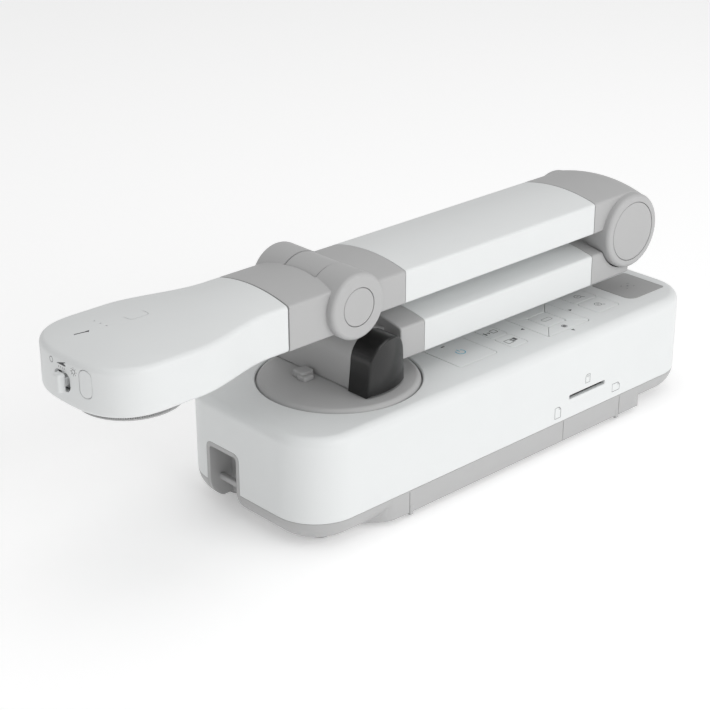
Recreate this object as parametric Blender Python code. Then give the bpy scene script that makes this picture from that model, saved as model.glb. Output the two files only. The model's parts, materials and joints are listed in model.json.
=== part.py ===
"""Folding document camera: a base with a turntable, two folding arms and a camera head.

Metres, +Z up. The origin is the centre of the base's underside. +X runs along the base
towards the elbow of the folded arms, and -Y is the long front face with the card slot.
The model is at rest in its folded pose, with both arms and the head lying over the base.
"""

from math import cos, pi, radians, sin, sqrt

import bmesh
import bpy
from mathutils import Matrix, Vector

# Clearances
GAP = 0.0003  # between two pieces that touch
KEY_GAP = 0.0004  # round a button in its hole
FINE = 0.002  # how far a cutter runs past the face it cuts

# Base
BASE_LENGTH = 0.264
BASE_WIDTH = 0.0944
BASE_CORNER = 0.023
BASE_SPLIT = 0.0115  # height of the parting line between casing and tray
BASE_TOP = 0.0525
BASE_TOP_FILLET = 0.0045
BASE_LOWER_ROUND = 0.0125  # radius of the wall's inward curve to the underside
BASE_X = BASE_LENGTH / 2
BASE_Y = BASE_WIDTH / 2
CASING_WALL = 0.0022
CASING_ROOF = 0.0026
TRAY_FLOOR = 0.0022
SKIRT_LEAD = 0.017  # length of the slanted face where the skirt begins
SKIRT_START = 0.048 - BASE_X
SKIRT_END = BASE_X - 0.0425
SKIRT_DEPTH = 0.009
SKIRT_BOTTOM = 0.0003
RIB_STATIONS = (0.060 - BASE_X, BASE_X - 0.059)
RIB_WIDTH = 0.0022
RIB_DROP = 0.0012  # how far a guide rib reaches below the tray's floor
FOOT_RADIUS = 0.0065
FOOT_HEIGHT = 0.0025
FOOT_WELL = 0.0008  # depth of the round recess that a foot is seated in
FOOT_INSET_X = 0.021
FOOT_INSET_Y = 0.019

# Cable notch in the end face, with its bar
NOTCH_CENTRE_Y = 0.01345
NOTCH_WIDTH = 0.0229
NOTCH_TOP = 0.0314
NOTCH_BOTTOM = 0.0015
NOTCH_DEPTH = 0.015
NOTCH_WALL = 0.0023
NOTCH_CORNER = 0.0035
NOTCH_BAR_HEIGHT = 0.003
NOTCH_BAR_BOTTOM = 0.010
NOTCH_BAR_SETBACK = 0.005

# Card slot in the front face
CARD_SLOT_X = BASE_X - 0.0834
CARD_SLOT_Z = BASE_TOP - 0.0300
CARD_SLOT_WIDTH = 0.0264
CARD_SLOT_HEIGHT = 0.0021
CARD_SOCKET_DEPTH = 0.024
CARD_SOCKET_HEIGHT = 0.0056
CARD_SOCKET_SIDE = 0.0015  # the socket's walls beside the slot

# Rear connectors
PORT_PANEL_X = BASE_X - 0.112
PORT_PANEL_Z = BASE_TOP - 0.0255
PORT_PANEL_WIDTH = 0.098
PORT_PANEL_HEIGHT = 0.020
PORT_PANEL_THICK = 0.0016
PORT_PANEL_RECESS = 0.0012
POWER_INLET_X = PORT_PANEL_X - 0.038
VIDEO_PORT_X = PORT_PANEL_X - 0.006
USB_PORT_X = PORT_PANEL_X + 0.030
POWER_INLET_SIZE = 0.011
POWER_INLET_BORE = 0.0033
VIDEO_PORT_SIZE = (0.0300, 0.0110)
USB_PORT_SIZE = (0.0120, 0.0110)
PORT_DEPTH = 0.013
PORT_SHELL = 0.0012  # wall of a socket's metal shell

# Inside the base
BALLAST_SIZE = (0.110, 0.060, 0.006)
BALLAST_X = -0.040
BOARD_SIZE = (0.120, 0.066, 0.0016)
BOARD_X = BASE_X - 0.070
BOARD_Z = 0.0140
CHIP_SIZE = (0.022, 0.022, 0.0018)

# Turntable
TABLE_X = 0.0588 - BASE_X
TABLE_RADIUS = 0.0381
TABLE_RISE = 0.0012  # how far its top stands above the casing
TABLE_THICK = 0.0036
TABLE_RIM_FILLET = 0.0025
TABLE_SIDE_GAP = 0.0007
HUB_RADIUS = 0.012
HUB_BORE = 0.0055
HUB_LENGTH = 0.0140
BEARING_RADIUS = 0.0430
BEARING_THICK = 0.0023
RETAINER_RADIUS = 0.019
RETAINER_THICK = 0.0024
LOCK_BUTTON_X = TABLE_X - 0.0133
LOCK_BUTTON_Y = 0.0088
LOCK_BUTTON_SIZE = (0.0085, 0.0096)
LOCK_BUTTON_HEIGHT = 0.0032
LOCK_BUTTON_TRAVEL = 0.0015
LOCK_BUTTON_FILLET = 0.0007

# Shoulder
SHOULDER_X = TABLE_X + 0.0043
SHOULDER_Z = BASE_TOP + 0.0157
SHOULDER_RADIUS = 0.0121
SHOULDER_FRONT = -0.0164
SHOULDER_REAR = 0.0346
SHOULDER_FRONT_CAP = 0.0128
SHOULDER_REAR_CAP = 0.0017
SHOULDER_CAP_FILLET = 0.0014
SHOULDER_CAP_REACH = 0.0306  # the front cap's face, from the turntable's axis
SHOULDER_SLOT = (-0.0129, 0.0161)
SHOULDER_KNUCKLE_RADIUS = 0.0096
SHOULDER_PIN_RADIUS = 0.0030
SHOULDER_WALL_SETBACK = 0.0035  # the slot's back wall, from its outer face
SPRING_POCKET_RADIUS = 0.0092
SPRING_POCKET_DEPTH = 0.0145
SPRING_RADIUS = 0.0062
SPRING_WIRE = 0.0018
SPRING_TURNS = 5
SPRING_PITCH = 0.0024

# Arms
ARM_HALF_WIDTH = 0.0236
ARM_HEIGHT = 0.0158
ARM_CROWN = 0.0032
ARM_EDGE = 0.0012
LOWER_ARM_BOTTOM = BASE_TOP + 0.0103
UPPER_ARM_BOTTOM = BASE_TOP + 0.0376
LOWER_ARM_START = SHOULDER_X + 0.0124
COVER_WALL = 0.0019
COVER_SPLIT = 0.0026  # height of the parting line between an arm's two covers
BEAM_HALF_WIDTH = 0.0140
BEAM_WALL = 0.0016
BEAM_HEIGHT = 0.0084
BEAM_SOCKET = 0.006  # how far a beam runs into the fitting at each end

# Elbow
ELBOW_X = SHOULDER_X + 0.1707
ELBOW_Z = BASE_TOP + 0.0340
ELBOW_RADIUS = 0.0191
ELBOW_OUTER = 0.0276  # half the distance between the outer faces
ELBOW_INNER = 0.0139  # half the gap between the outer barrels
ELBOW_KNUCKLE_RADIUS = 0.0186
ELBOW_KNUCKLE = 0.0136
ELBOW_HOOD_ANGLE = radians(45)
ELBOW_HOOD_ROOT = 0.012  # the radius at which the hood starts
ELBOW_CRADLE_END = 0.0033
ELBOW_FILLET = 0.0016
ELBOW_CAP_RADIUS = 0.0150
ELBOW_PIN_RADIUS = 0.0040

# Head tilt hinge, neck and head
TILT_X = ELBOW_X - 0.1876
TILT_Z = BASE_TOP + 0.0464
TILT_RADIUS = 0.0155
TILT_OUTER = 0.0276
TILT_INNER = 0.0107
TILT_KNUCKLE = 0.0102
TILT_KNUCKLE_RADIUS = 0.0152
TILT_SWEEP_RADIUS = 0.0160  # what the arm's end keeps clear of
TILT_FILLET = 0.0016
TILT_CAP_RADIUS = 0.0088
TILT_PIN_RADIUS = 0.0035
CAP_THICK = 0.0012
LOWER_COVER = (SHOULDER_X + 0.0275, ELBOW_X - 0.0258)
UPPER_COVER = (TILT_X + 0.0321, ELBOW_X - 0.0256)
NECK_BOTTOM = BASE_TOP + 0.0349
NECK_HEIGHT = 0.0210
NECK_CROWN = 0.0032
ROLL_X = TILT_X - 0.0368  # middle of the parting gap between neck and head
ROLL_GAP = 0.0008
ROLL_Z = BASE_TOP + 0.0455
ROLL_SHAFT_RADIUS = 0.0060
ROLL_SHAFT_BORE = 0.0035
ROLL_SHAFT_IN_NECK = 0.0085
ROLL_SHAFT_IN_HEAD = 0.014
HEAD_TIP = ROLL_X - 0.0986
HEAD_HALF_WIDTH = 0.0332
HEAD_FLARE = (ROLL_X - 0.0094, ROLL_X - 0.0554)  # where the sides start and end their flare
HEAD_END_LENGTH = 0.029
HEAD_END_POWER = 2.6
HEAD_BOTTOM = NECK_BOTTOM
HEAD_TOP = HEAD_BOTTOM + 0.0242
HEAD_TOP_FILLET = 0.0042
HEAD_WALL = 0.0020
HEAD_FLOOR = 0.0018

# Camera and its light
LENS_X = HEAD_TIP + 0.0322
LENS_RING_RADIUS = 0.0230
LENS_RING_BORE = 0.0185
LENS_RING_DROP = 0.0074
LENS_BARREL_RADIUS = 0.0181
LENS_BARREL_BORE = 0.0125
LENS_BARREL_TOP = HEAD_BOTTOM + 0.0116
LENS_GLASS_THICK = 0.0030
SENSOR_SIZE = (0.030, 0.030, 0.0016)
LIGHT_X = HEAD_TIP + 0.0692
LIGHT_RADIUS = 0.0052
LIGHT_HEIGHT = 0.0040
SLIDER_Y = -0.0005
SLIDER_Z = HEAD_BOTTOM + 0.0106
SLIDER_SIZE = (0.0044, 0.0082)
SLIDER_SLOT = (-0.0029, 0.0031)  # the slot's ends in Y
SLIDER_PROUD = 0.0028
SLIDER_SHANK = 0.0060
SLIDER_SHANK_INSET = 0.0004  # the shank is this much narrower each side
SLIDER_EDGE = 0.0005

# Buttons on the base's top: each one's X span from the panel's left end, and its Y span
PANEL_X = BASE_X - 0.1575
BUTTON_REAR = -0.0070
BUTTON_PROUD = 0.0006
BUTTON_TAIL = 0.0010  # how far a key reaches below the casing's roof
BUTTON_CORNER = 0.0015
BUTTON_SPANS = {
    "power_button": (0.0, 0.0255, -0.0315, BUTTON_REAR),
    "source_button": (0.0345, 0.0455, -0.0195, BUTTON_REAR),
    "split_screen_button": (0.0345, 0.0455, -0.0330, -0.0205),
    "zoom_out_button": (0.0970, 0.1135, -0.0180, BUTTON_REAR),
    "zoom_in_button": (0.0970, 0.1135, -0.0330, -0.0190),
    "focus_button": (0.1220, 0.1485, -0.0335, BUTTON_REAR),
}
PAD_CENTRE = (PANEL_X + 0.0718, -0.0210)
PAD_SIZE = (0.0306, 0.0300)
ENTER_SIZE = (0.0130, 0.0140)

STEPS = 5  # straight pieces in a quarter round
ROUND = 40  # sides of a large round piece
SMALL_ROUND = 24


# ---------------------------------------------------------------- scene and materials


def clear_scene():
    for item in list(bpy.data.objects):
        bpy.data.objects.remove(item, do_unlink=True)


def collection(name):
    made = bpy.data.collections.new(name)
    bpy.context.scene.collection.children.link(made)
    return made


def material(name, colour, roughness, metallic=0.0):
    made = bpy.data.materials.new(name)
    made.use_nodes = True
    shader = made.node_tree.nodes["Principled BSDF"]
    shader.inputs["Base Color"].default_value = (*colour, 1.0)
    shader.inputs["Roughness"].default_value = roughness
    shader.inputs["Metallic"].default_value = metallic
    made.diffuse_color = (*colour, 1.0)
    return made


clear_scene()
PARTS = collection("document_camera")
CUTTERS = collection("cutters")
WHITE = material("white_plastic", (0.78, 0.80, 0.80), 0.38)
GREY = material("light_grey_plastic", (0.47, 0.47, 0.47), 0.45)
DARK_GREY = material("key_grey_plastic", (0.34, 0.34, 0.34), 0.45)
BLACK = material("black_plastic", (0.02, 0.02, 0.02), 0.30)
RUBBER = material("foot_rubber", (0.40, 0.40, 0.40), 0.80)
STEEL = material("steel", (0.55, 0.55, 0.56), 0.30, 1.0)
ALUMINIUM = material("aluminium", (0.70, 0.70, 0.71), 0.35, 1.0)
BOARD = material("circuit_board", (0.03, 0.16, 0.08), 0.50)
GLASS = material("lens_glass", (0.05, 0.06, 0.08), 0.05)
DIFFUSER = material("light_window", (0.85, 0.85, 0.80), 0.25)


# ---------------------------------------------------------------- outlines


def rounded(corners, steps=STEPS):
    """The outline of a polygon whose corners, each (u, v, radius), are round."""
    points = []
    for i, (u, v, radius) in enumerate(corners):
        here = Vector((u, v))
        back = (Vector(corners[i - 1][:2]) - here).normalized()
        ahead = (Vector(corners[(i + 1) % len(corners)][:2]) - here).normalized()
        half = back.angle(ahead) / 2
        if radius == 0 or abs(half - pi / 2) < 1e-6:
            points.append(tuple(here))
            continue
        centre = here + (back + ahead).normalized() * radius / sin(half)
        first = here + back * radius / (sin(half) / cos(half)) - centre
        last = here + ahead * radius / (sin(half) / cos(half)) - centre
        turn = first.angle_signed(last)
        for k in range(steps + 1):
            spoke = first.copy()
            spoke.rotate(Matrix.Rotation(-turn * k / steps, 2))
            points.append(tuple(centre + spoke))
    return points


def rectangle(low_u, high_u, low_v, high_v, radius=0.0, steps=STEPS):
    return rounded(
        [
            (low_u, low_v, radius),
            (high_u, low_v, radius),
            (high_u, high_v, radius),
            (low_u, high_v, radius),
        ],
        steps,
    )


def crowned_section(half, low, height, crown, inset=0.0, steps=10):
    """A flat-bottomed section in Y and Z whose top is a shallow arch, shrunk by inset."""
    half, low, side_top = half - inset, low + inset, low + height - inset
    corners = [(-half, low, ARM_EDGE), (half, low, ARM_EDGE)]
    for k in range(steps + 1):
        y = half * (1 - 2 * k / steps)
        corners.append((y, side_top + crown * (1 - (y / half) ** 2), 0))
    return rounded(corners, 2)


def arch(x, z, radius, bottom, steps=10):
    """A D shape in X and Z: straight sides up to height z, and half a circle above."""
    points = [(x - radius, bottom), (x + radius, bottom)]
    for k in range(steps + 1):
        angle = pi * k / steps
        points.append((x + radius * cos(angle), z + radius * sin(angle)))
    return points


def head_half_width(x):
    """Half the head's width at x, in its straight and flaring stretch."""
    start, end = HEAD_FLARE
    t = min(max((start - x) / (start - end), 0.0), 1.0)
    flare = t * t * (3 - 2 * t)
    return ARM_HALF_WIDTH + (HEAD_HALF_WIDTH - ARM_HALF_WIDTH) * flare


def head_outline(start, inset=0.0):
    """The head's plan: a neck as wide as the arm, flaring into a blunt round paddle."""
    flare_steps, end_steps = 7, 7
    end_start = HEAD_TIP + HEAD_END_LENGTH
    side = [(start, head_half_width(start) - inset)]
    for k in range(flare_steps + 1):
        x = HEAD_FLARE[0] + (HEAD_FLARE[1] - HEAD_FLARE[0]) * k / flare_steps
        side.append((x, head_half_width(x) - inset))
    for k in range(end_steps):
        angle = pi / 2 * k / end_steps
        x = end_start - (HEAD_END_LENGTH - inset) * sin(angle) ** (2 / HEAD_END_POWER)
        y = (HEAD_HALF_WIDTH - inset) * cos(angle) ** (2 / HEAD_END_POWER)
        side.append((x, y))
    tip = [(HEAD_TIP + inset, 0.0)]
    return side + tip + [(x, -y) for x, y in reversed(side)]


# ---------------------------------------------------------------- solids

PLANES = {  # how an outline's u, v and the height above it map to X, Y and Z
    "XY": Matrix(((1, 0, 0), (0, 1, 0), (0, 0, 1))),
    "XZ": Matrix(((1, 0, 0), (0, 0, 1), (0, 1, 0))),
    "YZ": Matrix(((0, 0, 1), (1, 0, 0), (0, 1, 0))),
}


def prism(outline, plane, start, end):
    """A closed mesh: the outline, filled, and drawn from start to end along the third axis."""
    curve = bpy.data.curves.new("outline", "CURVE")
    curve.dimensions = "2D"
    curve.fill_mode = "BOTH"
    curve.extrude = abs(end - start) / 2
    spline = curve.splines.new("POLY")
    spline.points.add(len(outline) - 1)
    for point, (u, v) in zip(spline.points, outline):
        point.co = (u, v, 0.0, 1.0)
    spline.use_cyclic_u = True
    holder = bpy.data.objects.new("outline", curve)
    bpy.context.scene.collection.objects.link(holder)
    graph = bpy.context.evaluated_depsgraph_get()
    mesh = bpy.data.meshes.new_from_object(holder.evaluated_get(graph))
    bpy.data.objects.remove(holder, do_unlink=True)
    made = bmesh.new()
    made.from_mesh(mesh)
    bpy.data.meshes.remove(mesh)
    bmesh.ops.remove_doubles(made, verts=made.verts, dist=1e-6)
    bmesh.ops.dissolve_limit(made, angle_limit=1e-4, verts=made.verts, edges=made.edges)
    bmesh.ops.translate(made, verts=made.verts, vec=(0, 0, (start + end) / 2))
    bmesh.ops.transform(made, verts=made.verts, matrix=PLANES[plane].to_4x4())
    bmesh.ops.recalc_face_normals(made, faces=made.faces)
    return made


def box(low, high):
    made = bmesh.new()
    bmesh.ops.create_cube(made, size=1.0)
    size = Vector(high) - Vector(low)
    bmesh.ops.scale(made, verts=made.verts, vec=size)
    bmesh.ops.translate(made, verts=made.verts, vec=(Vector(high) + Vector(low)) / 2)
    return made


def centred_box(centre, size):
    half = Vector(size) / 2
    return box(Vector(centre) - half, Vector(centre) + half)


def cylinder(axis, centre, start, end, radius, sides=SMALL_ROUND):
    """A cylinder along axis, whose other two coordinates, in order, are centre."""
    made = bmesh.new()
    bmesh.ops.create_cone(
        made,
        cap_ends=True,
        segments=sides,
        radius1=radius,
        radius2=radius,
        depth=abs(end - start),
    )
    middle = (start + end) / 2
    if axis == "Y":
        bmesh.ops.rotate(made, verts=made.verts, matrix=Matrix.Rotation(pi / 2, 3, "X"))
        bmesh.ops.translate(made, verts=made.verts, vec=(centre[0], middle, centre[1]))
    elif axis == "X":
        bmesh.ops.rotate(made, verts=made.verts, matrix=Matrix.Rotation(pi / 2, 3, "Y"))
        bmesh.ops.translate(made, verts=made.verts, vec=(middle, centre[0], centre[1]))
    else:
        bmesh.ops.translate(made, verts=made.verts, vec=(centre[0], centre[1], middle))
    return made


def fillet(made, chosen, radius, steps=3):
    """Rounds the edges of a mesh for which chosen(edge) holds."""
    edges = [edge for edge in made.edges if chosen(edge)]
    bmesh.ops.bevel(
        made,
        geom=edges,
        offset=radius,
        segments=steps,
        profile=0.5,
        affect="EDGES",
        clamp_overlap=True,
    )
    return made


def level(axis, height):
    """A test for the edges that lie in the plane where the axis's coordinate is height."""
    index = "XYZ".index(axis)
    return lambda edge: all(abs(vert.co[index] - height) < 1e-6 for vert in edge.verts)


def part(name, made, look, origin=(0.0, 0.0, 0.0)):
    """Puts a mesh into the scene as a named piece with its origin at the given point."""
    bmesh.ops.translate(made, verts=made.verts, vec=-Vector(origin))
    mesh = bpy.data.meshes.new(name)
    made.to_mesh(mesh)
    made.free()
    mesh.materials.append(look)
    mesh.shade_smooth()
    mesh.set_sharp_from_angle(angle=radians(35))
    piece = bpy.data.objects.new(name, mesh)
    piece.location = origin
    PARTS.objects.link(piece)
    return piece


def operand(name, made):
    """A hidden helper for a Boolean."""
    mesh = bpy.data.meshes.new(name)
    made.to_mesh(mesh)
    made.free()
    helper = bpy.data.objects.new(name, mesh)
    helper.hide_render = True
    helper.display_type = "WIRE"
    CUTTERS.objects.link(helper)
    return helper


def combine(piece, operation, made, label, solver="EXACT"):
    helper = operand(f"{piece.name}_{label}", made)
    change = piece.modifiers.new(label, "BOOLEAN")
    change.operation = operation
    change.solver = solver
    change.object = helper


def cut(piece, made, label):
    combine(piece, "DIFFERENCE", made, label)


def join(piece, made, label, solver="EXACT"):
    combine(piece, "UNION", made, label, solver)


# ---------------------------------------------------------------- base


def base_inset(z):
    """How far the base's outer wall curves in at height z."""
    rise = BASE_TOP - BASE_TOP_FILLET
    if z < BASE_LOWER_ROUND:
        return BASE_LOWER_ROUND - sqrt(BASE_LOWER_ROUND**2 - (BASE_LOWER_ROUND - z) ** 2)
    if z > rise:
        return BASE_TOP_FILLET - sqrt(max(BASE_TOP_FILLET**2 - (z - rise) ** 2, 0))
    return 0.0


def base_block(bottom, top, wall=0.0):
    """The base's body between two heights, with its walls drawn in by wall."""
    heights = [bottom, top]
    for k in range(STEPS + 1):
        turn = pi / 2 * k / STEPS
        heights.append(BASE_LOWER_ROUND * (1 - cos(turn)))
        heights.append(BASE_TOP - BASE_TOP_FILLET * (1 - sin(turn)))
    made = bmesh.new()
    rings = []
    for z in sorted(height for height in set(heights) if bottom <= height <= top):
        inset = base_inset(z) + wall
        outline = rectangle(-BASE_X + inset, BASE_X - inset, -BASE_Y + inset, BASE_Y - inset,
                            BASE_CORNER - inset)
        rings.append([made.verts.new((x, y, z)) for x, y in outline])
    for below, above in zip(rings, rings[1:]):
        for k, vert in enumerate(below):
            made.faces.new((below[k - 1], vert, above[k], above[k - 1]))
    made.faces.new(rings[0][::-1])
    made.faces.new(rings[-1])
    bmesh.ops.recalc_face_normals(made, faces=made.faces)
    return made


def pad_key_outlines(grow=0.0):
    """The four keys round the enter key, each a strip with mitred ends."""
    cx, cy = PAD_CENTRE
    out_x, out_y = PAD_SIZE[0] / 2, PAD_SIZE[1] / 2
    in_x, in_y = ENTER_SIZE[0] / 2 + KEY_GAP, ENTER_SIZE[1] / 2 + KEY_GAP
    mitre = KEY_GAP * 0.75
    keys = {
        "pad_front_key": [(-out_x + mitre, -out_y), (out_x - mitre, -out_y),
                          (in_x - mitre, -in_y), (-in_x + mitre, -in_y)],
        "pad_right_key": [(out_x, -out_y + mitre), (out_x, out_y - mitre),
                          (in_x, in_y - mitre), (in_x, -in_y + mitre)],
        "pad_rear_key": [(out_x - mitre, out_y), (-out_x + mitre, out_y),
                         (-in_x + mitre, in_y), (in_x - mitre, in_y)],
        "pad_left_key": [(-out_x, out_y - mitre), (-out_x, -out_y + mitre),
                         (-in_x, -in_y + mitre), (-in_x, in_y - mitre)],
    }
    return {name: [(cx + x, cy + y) for x, y in outline] for name, outline in keys.items()}


def build_casing():
    casing = part("base_casing", base_block(BASE_SPLIT + GAP / 2, BASE_TOP), WHITE)
    cut(casing, base_block(BASE_SPLIT - FINE, BASE_TOP - CASING_ROOF, CASING_WALL), "inside")
    well = cylinder("Z", (TABLE_X, 0), BASE_TOP - CASING_ROOF - FINE, BASE_TOP + FINE,
                    TABLE_RADIUS + TABLE_SIDE_GAP, ROUND)
    cut(casing, well, "turntable_well")
    for name, (low_x, high_x, low_y, high_y) in BUTTON_SPANS.items():
        hole = box((PANEL_X + low_x - KEY_GAP, low_y - KEY_GAP,
                    BASE_TOP - CASING_ROOF - FINE),
                   (PANEL_X + high_x + KEY_GAP, high_y + KEY_GAP, BASE_TOP + FINE))
        cut(casing, hole, name + "_hole")
    pad = [size / 2 + KEY_GAP for size in PAD_SIZE]
    hole = box((PAD_CENTRE[0] - pad[0], PAD_CENTRE[1] - pad[1], BASE_TOP - CASING_ROOF - FINE),
               (PAD_CENTRE[0] + pad[0], PAD_CENTRE[1] + pad[1], BASE_TOP + FINE))
    cut(casing, hole, "pad_hole")
    slot = box((CARD_SLOT_X - CARD_SLOT_WIDTH / 2, -BASE_Y - FINE,
                CARD_SLOT_Z - CARD_SLOT_HEIGHT / 2),
               (CARD_SLOT_X + CARD_SLOT_WIDTH / 2, -BASE_Y + CASING_WALL + FINE,
                CARD_SLOT_Z + CARD_SLOT_HEIGHT / 2))
    cut(casing, slot, "card_slot")
    cut(casing, notch_block(-BASE_X - FINE, -BASE_X + CASING_WALL + FINE, GAP, -FINE), "notch")
    window = centred_box((PORT_PANEL_X, BASE_Y, PORT_PANEL_Z),
                         (PORT_PANEL_WIDTH, CASING_WALL * 2 + FINE, PORT_PANEL_HEIGHT))
    cut(casing, window, "port_window")


FEET = {
    f"foot_{face}_{end}": (side_x * (BASE_X - FOOT_INSET_X), side_y * (BASE_Y - FOOT_INSET_Y))
    for side_x, end in ((-1, "left"), (1, "right"))
    for side_y, face in ((-1, "front"), (1, "rear"))
}


def build_tray():
    top = BASE_SPLIT - GAP / 2
    tray = part("base_tray", base_block(0, top), GREY)
    inner = -BASE_Y + SKIRT_DEPTH
    plan = [(SKIRT_START - SKIRT_LEAD, inner), (SKIRT_START, -BASE_Y), (SKIRT_END, -BASE_Y),
            (SKIRT_END, inner)]
    join(tray, prism(plan, "XY", SKIRT_BOTTOM, top), "skirt")
    for k, x in enumerate(RIB_STATIONS):
        rib = box((x - RIB_WIDTH / 2, -BASE_Y + GAP, -RIB_DROP),
                  (x + RIB_WIDTH / 2, -BASE_Y + SKIRT_DEPTH, TRAY_FLOOR))
        join(tray, rib, f"guide_rib_{k + 1}")
    cut(tray, base_block(TRAY_FLOOR, BASE_SPLIT + FINE, CASING_WALL), "inside")
    for name, centre in FEET.items():
        cut(tray, cylinder("Z", centre, -FINE, FOOT_WELL, FOOT_RADIUS + GAP), name + "_well")
    cut(tray, notch_block(-BASE_X - FINE, -BASE_X + NOTCH_DEPTH, GAP, -FINE), "notch")


def build_feet():
    for name, centre in FEET.items():
        foot = cylinder("Z", centre, -FOOT_HEIGHT, FOOT_WELL - GAP, FOOT_RADIUS)
        fillet(foot, level("Z", -FOOT_HEIGHT), FOOT_HEIGHT / 4, 1)
        part(name, foot, RUBBER)


def notch_block(start, end, grow, bottom):
    """The block that the cable notch's lining fills, grown all round."""
    half = NOTCH_WIDTH / 2 + grow
    top = NOTCH_TOP + grow
    outline = rounded([(NOTCH_CENTRE_Y - half, bottom, 0), (NOTCH_CENTRE_Y + half, bottom, 0),
                       (NOTCH_CENTRE_Y + half, top, NOTCH_CORNER + grow),
                       (NOTCH_CENTRE_Y - half, top, NOTCH_CORNER + grow)])
    return prism(outline, "YZ", start, end)


def build_notch():
    front, back = -BASE_X, -BASE_X + NOTCH_DEPTH
    lining = part("cable_notch", notch_block(front, back - GAP, 0, NOTCH_BOTTOM), GREY)
    half = NOTCH_WIDTH / 2 - NOTCH_WALL
    hollow = box((front - FINE, NOTCH_CENTRE_Y - half, NOTCH_BOTTOM - FINE),
                 (back - NOTCH_WALL, NOTCH_CENTRE_Y + half, NOTCH_TOP - NOTCH_WALL))
    combine(lining, "INTERSECT", base_block(0, BASE_TOP, GAP / 10), "wall_profile")
    cut(lining, hollow, "hollow")
    bar = box((front + NOTCH_BAR_SETBACK, NOTCH_CENTRE_Y - half - NOTCH_WALL / 2,
               NOTCH_BAR_BOTTOM),
              (front + NOTCH_BAR_SETBACK + NOTCH_BAR_HEIGHT,
               NOTCH_CENTRE_Y + half + NOTCH_WALL / 2, NOTCH_BAR_BOTTOM + NOTCH_BAR_HEIGHT))
    join(lining, bar, "cable_bar")


def build_card_socket():
    front = -BASE_Y + CASING_WALL + GAP
    body = centred_box((CARD_SLOT_X, front + CARD_SOCKET_DEPTH / 2, CARD_SLOT_Z),
                       (CARD_SLOT_WIDTH + 2 * CARD_SOCKET_SIDE, CARD_SOCKET_DEPTH,
                        CARD_SOCKET_HEIGHT))
    socket = part("card_socket", body, BLACK)
    slot = box((CARD_SLOT_X - CARD_SLOT_WIDTH / 2, front - FINE,
                CARD_SLOT_Z - CARD_SLOT_HEIGHT / 2),
               (CARD_SLOT_X + CARD_SLOT_WIDTH / 2, front + CARD_SOCKET_DEPTH - FINE,
                CARD_SLOT_Z + CARD_SLOT_HEIGHT / 2))
    cut(socket, slot, "slot")


def build_ports():
    """The rear connector panel, set into the casing's rear window, and its sockets."""
    outer = BASE_Y - PORT_PANEL_RECESS
    inner = outer - PORT_PANEL_THICK
    plate = centred_box((PORT_PANEL_X, (outer + inner) / 2, PORT_PANEL_Z),
                        (PORT_PANEL_WIDTH - 2 * GAP, PORT_PANEL_THICK,
                         PORT_PANEL_HEIGHT - 2 * GAP))
    panel = part("port_panel", plate, GREY)
    sizes = {
        "power_inlet": (POWER_INLET_X, POWER_INLET_SIZE, POWER_INLET_SIZE),
        "video_port": (VIDEO_PORT_X, *VIDEO_PORT_SIZE),
        "usb_port": (USB_PORT_X, *USB_PORT_SIZE),
    }
    for name, (x, width, height) in sizes.items():
        hole = centred_box((x, outer, PORT_PANEL_Z),
                           (width + 2 * GAP, PORT_PANEL_THICK * 2 + FINE, height + 2 * GAP))
        cut(panel, hole, name + "_hole")
        body = box((x - width / 2, outer - PORT_DEPTH, PORT_PANEL_Z - height / 2),
                   (x + width / 2, outer, PORT_PANEL_Z + height / 2))
        socket = part(name, body, BLACK if name == "power_inlet" else STEEL)
        mouth = outer - PORT_DEPTH * 0.7
        if name == "power_inlet":
            cut(socket, cylinder("Y", (x, PORT_PANEL_Z), mouth, outer + FINE,
                                 POWER_INLET_BORE), "bore")
            join(socket, cylinder("Y", (x, PORT_PANEL_Z), mouth - FINE, outer - FINE,
                                  POWER_INLET_BORE / 4, 12), "pin")
        else:
            half_x, half_z = width / 2 - PORT_SHELL, height / 2 - PORT_SHELL
            cut(socket, box((x - half_x, mouth, PORT_PANEL_Z - half_z),
                            (x + half_x, outer + FINE, PORT_PANEL_Z + half_z)), "mouth")
            join(socket, box((x - width / 4, mouth - FINE, PORT_PANEL_Z - height / 5),
                             (x + width / 4, outer - PORT_SHELL, PORT_PANEL_Z + height / 5)),
                 "contact_block")


def build_base_inside():
    low = TRAY_FLOOR + GAP
    ballast = centred_box((BALLAST_X, 0, low + BALLAST_SIZE[2] / 2), BALLAST_SIZE)
    part("ballast_plate", ballast, STEEL)
    board = part("main_board", centred_box((BOARD_X, 0, BOARD_Z), BOARD_SIZE), BOARD)
    chip = centred_box((BOARD_X, 0, BOARD_Z + BOARD_SIZE[2]), CHIP_SIZE)
    join(board, chip, "image_processor")


def button(name, outline):
    """A key standing just proud of the casing and reaching down through its roof."""
    top = BASE_TOP + BUTTON_PROUD
    bottom = BASE_TOP - CASING_ROOF - BUTTON_TAIL
    cap = fillet(prism(outline, "XY", bottom, top), level("Z", top),
                 BUTTON_PROUD * 0.8, 1)
    return part(name, cap, WHITE)


def build_buttons():
    for name, (low_x, high_x, low_y, high_y) in BUTTON_SPANS.items():
        key = button(name, rectangle(PANEL_X + low_x, PANEL_X + high_x, low_y, high_y,
                                     BUTTON_CORNER, 2))
        if name == "focus_button":
            key.data.materials[0] = DARK_GREY
    for name, outline in pad_key_outlines().items():
        button(name, outline)
    half_x, half_y = ENTER_SIZE[0] / 2, ENTER_SIZE[1] / 2
    button("enter_button", rectangle(PAD_CENTRE[0] - half_x, PAD_CENTRE[0] + half_x,
                                     PAD_CENTRE[1] - half_y, PAD_CENTRE[1] + half_y,
                                     BUTTON_CORNER, 2))


# ---------------------------------------------------------------- turntable and shoulder

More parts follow.
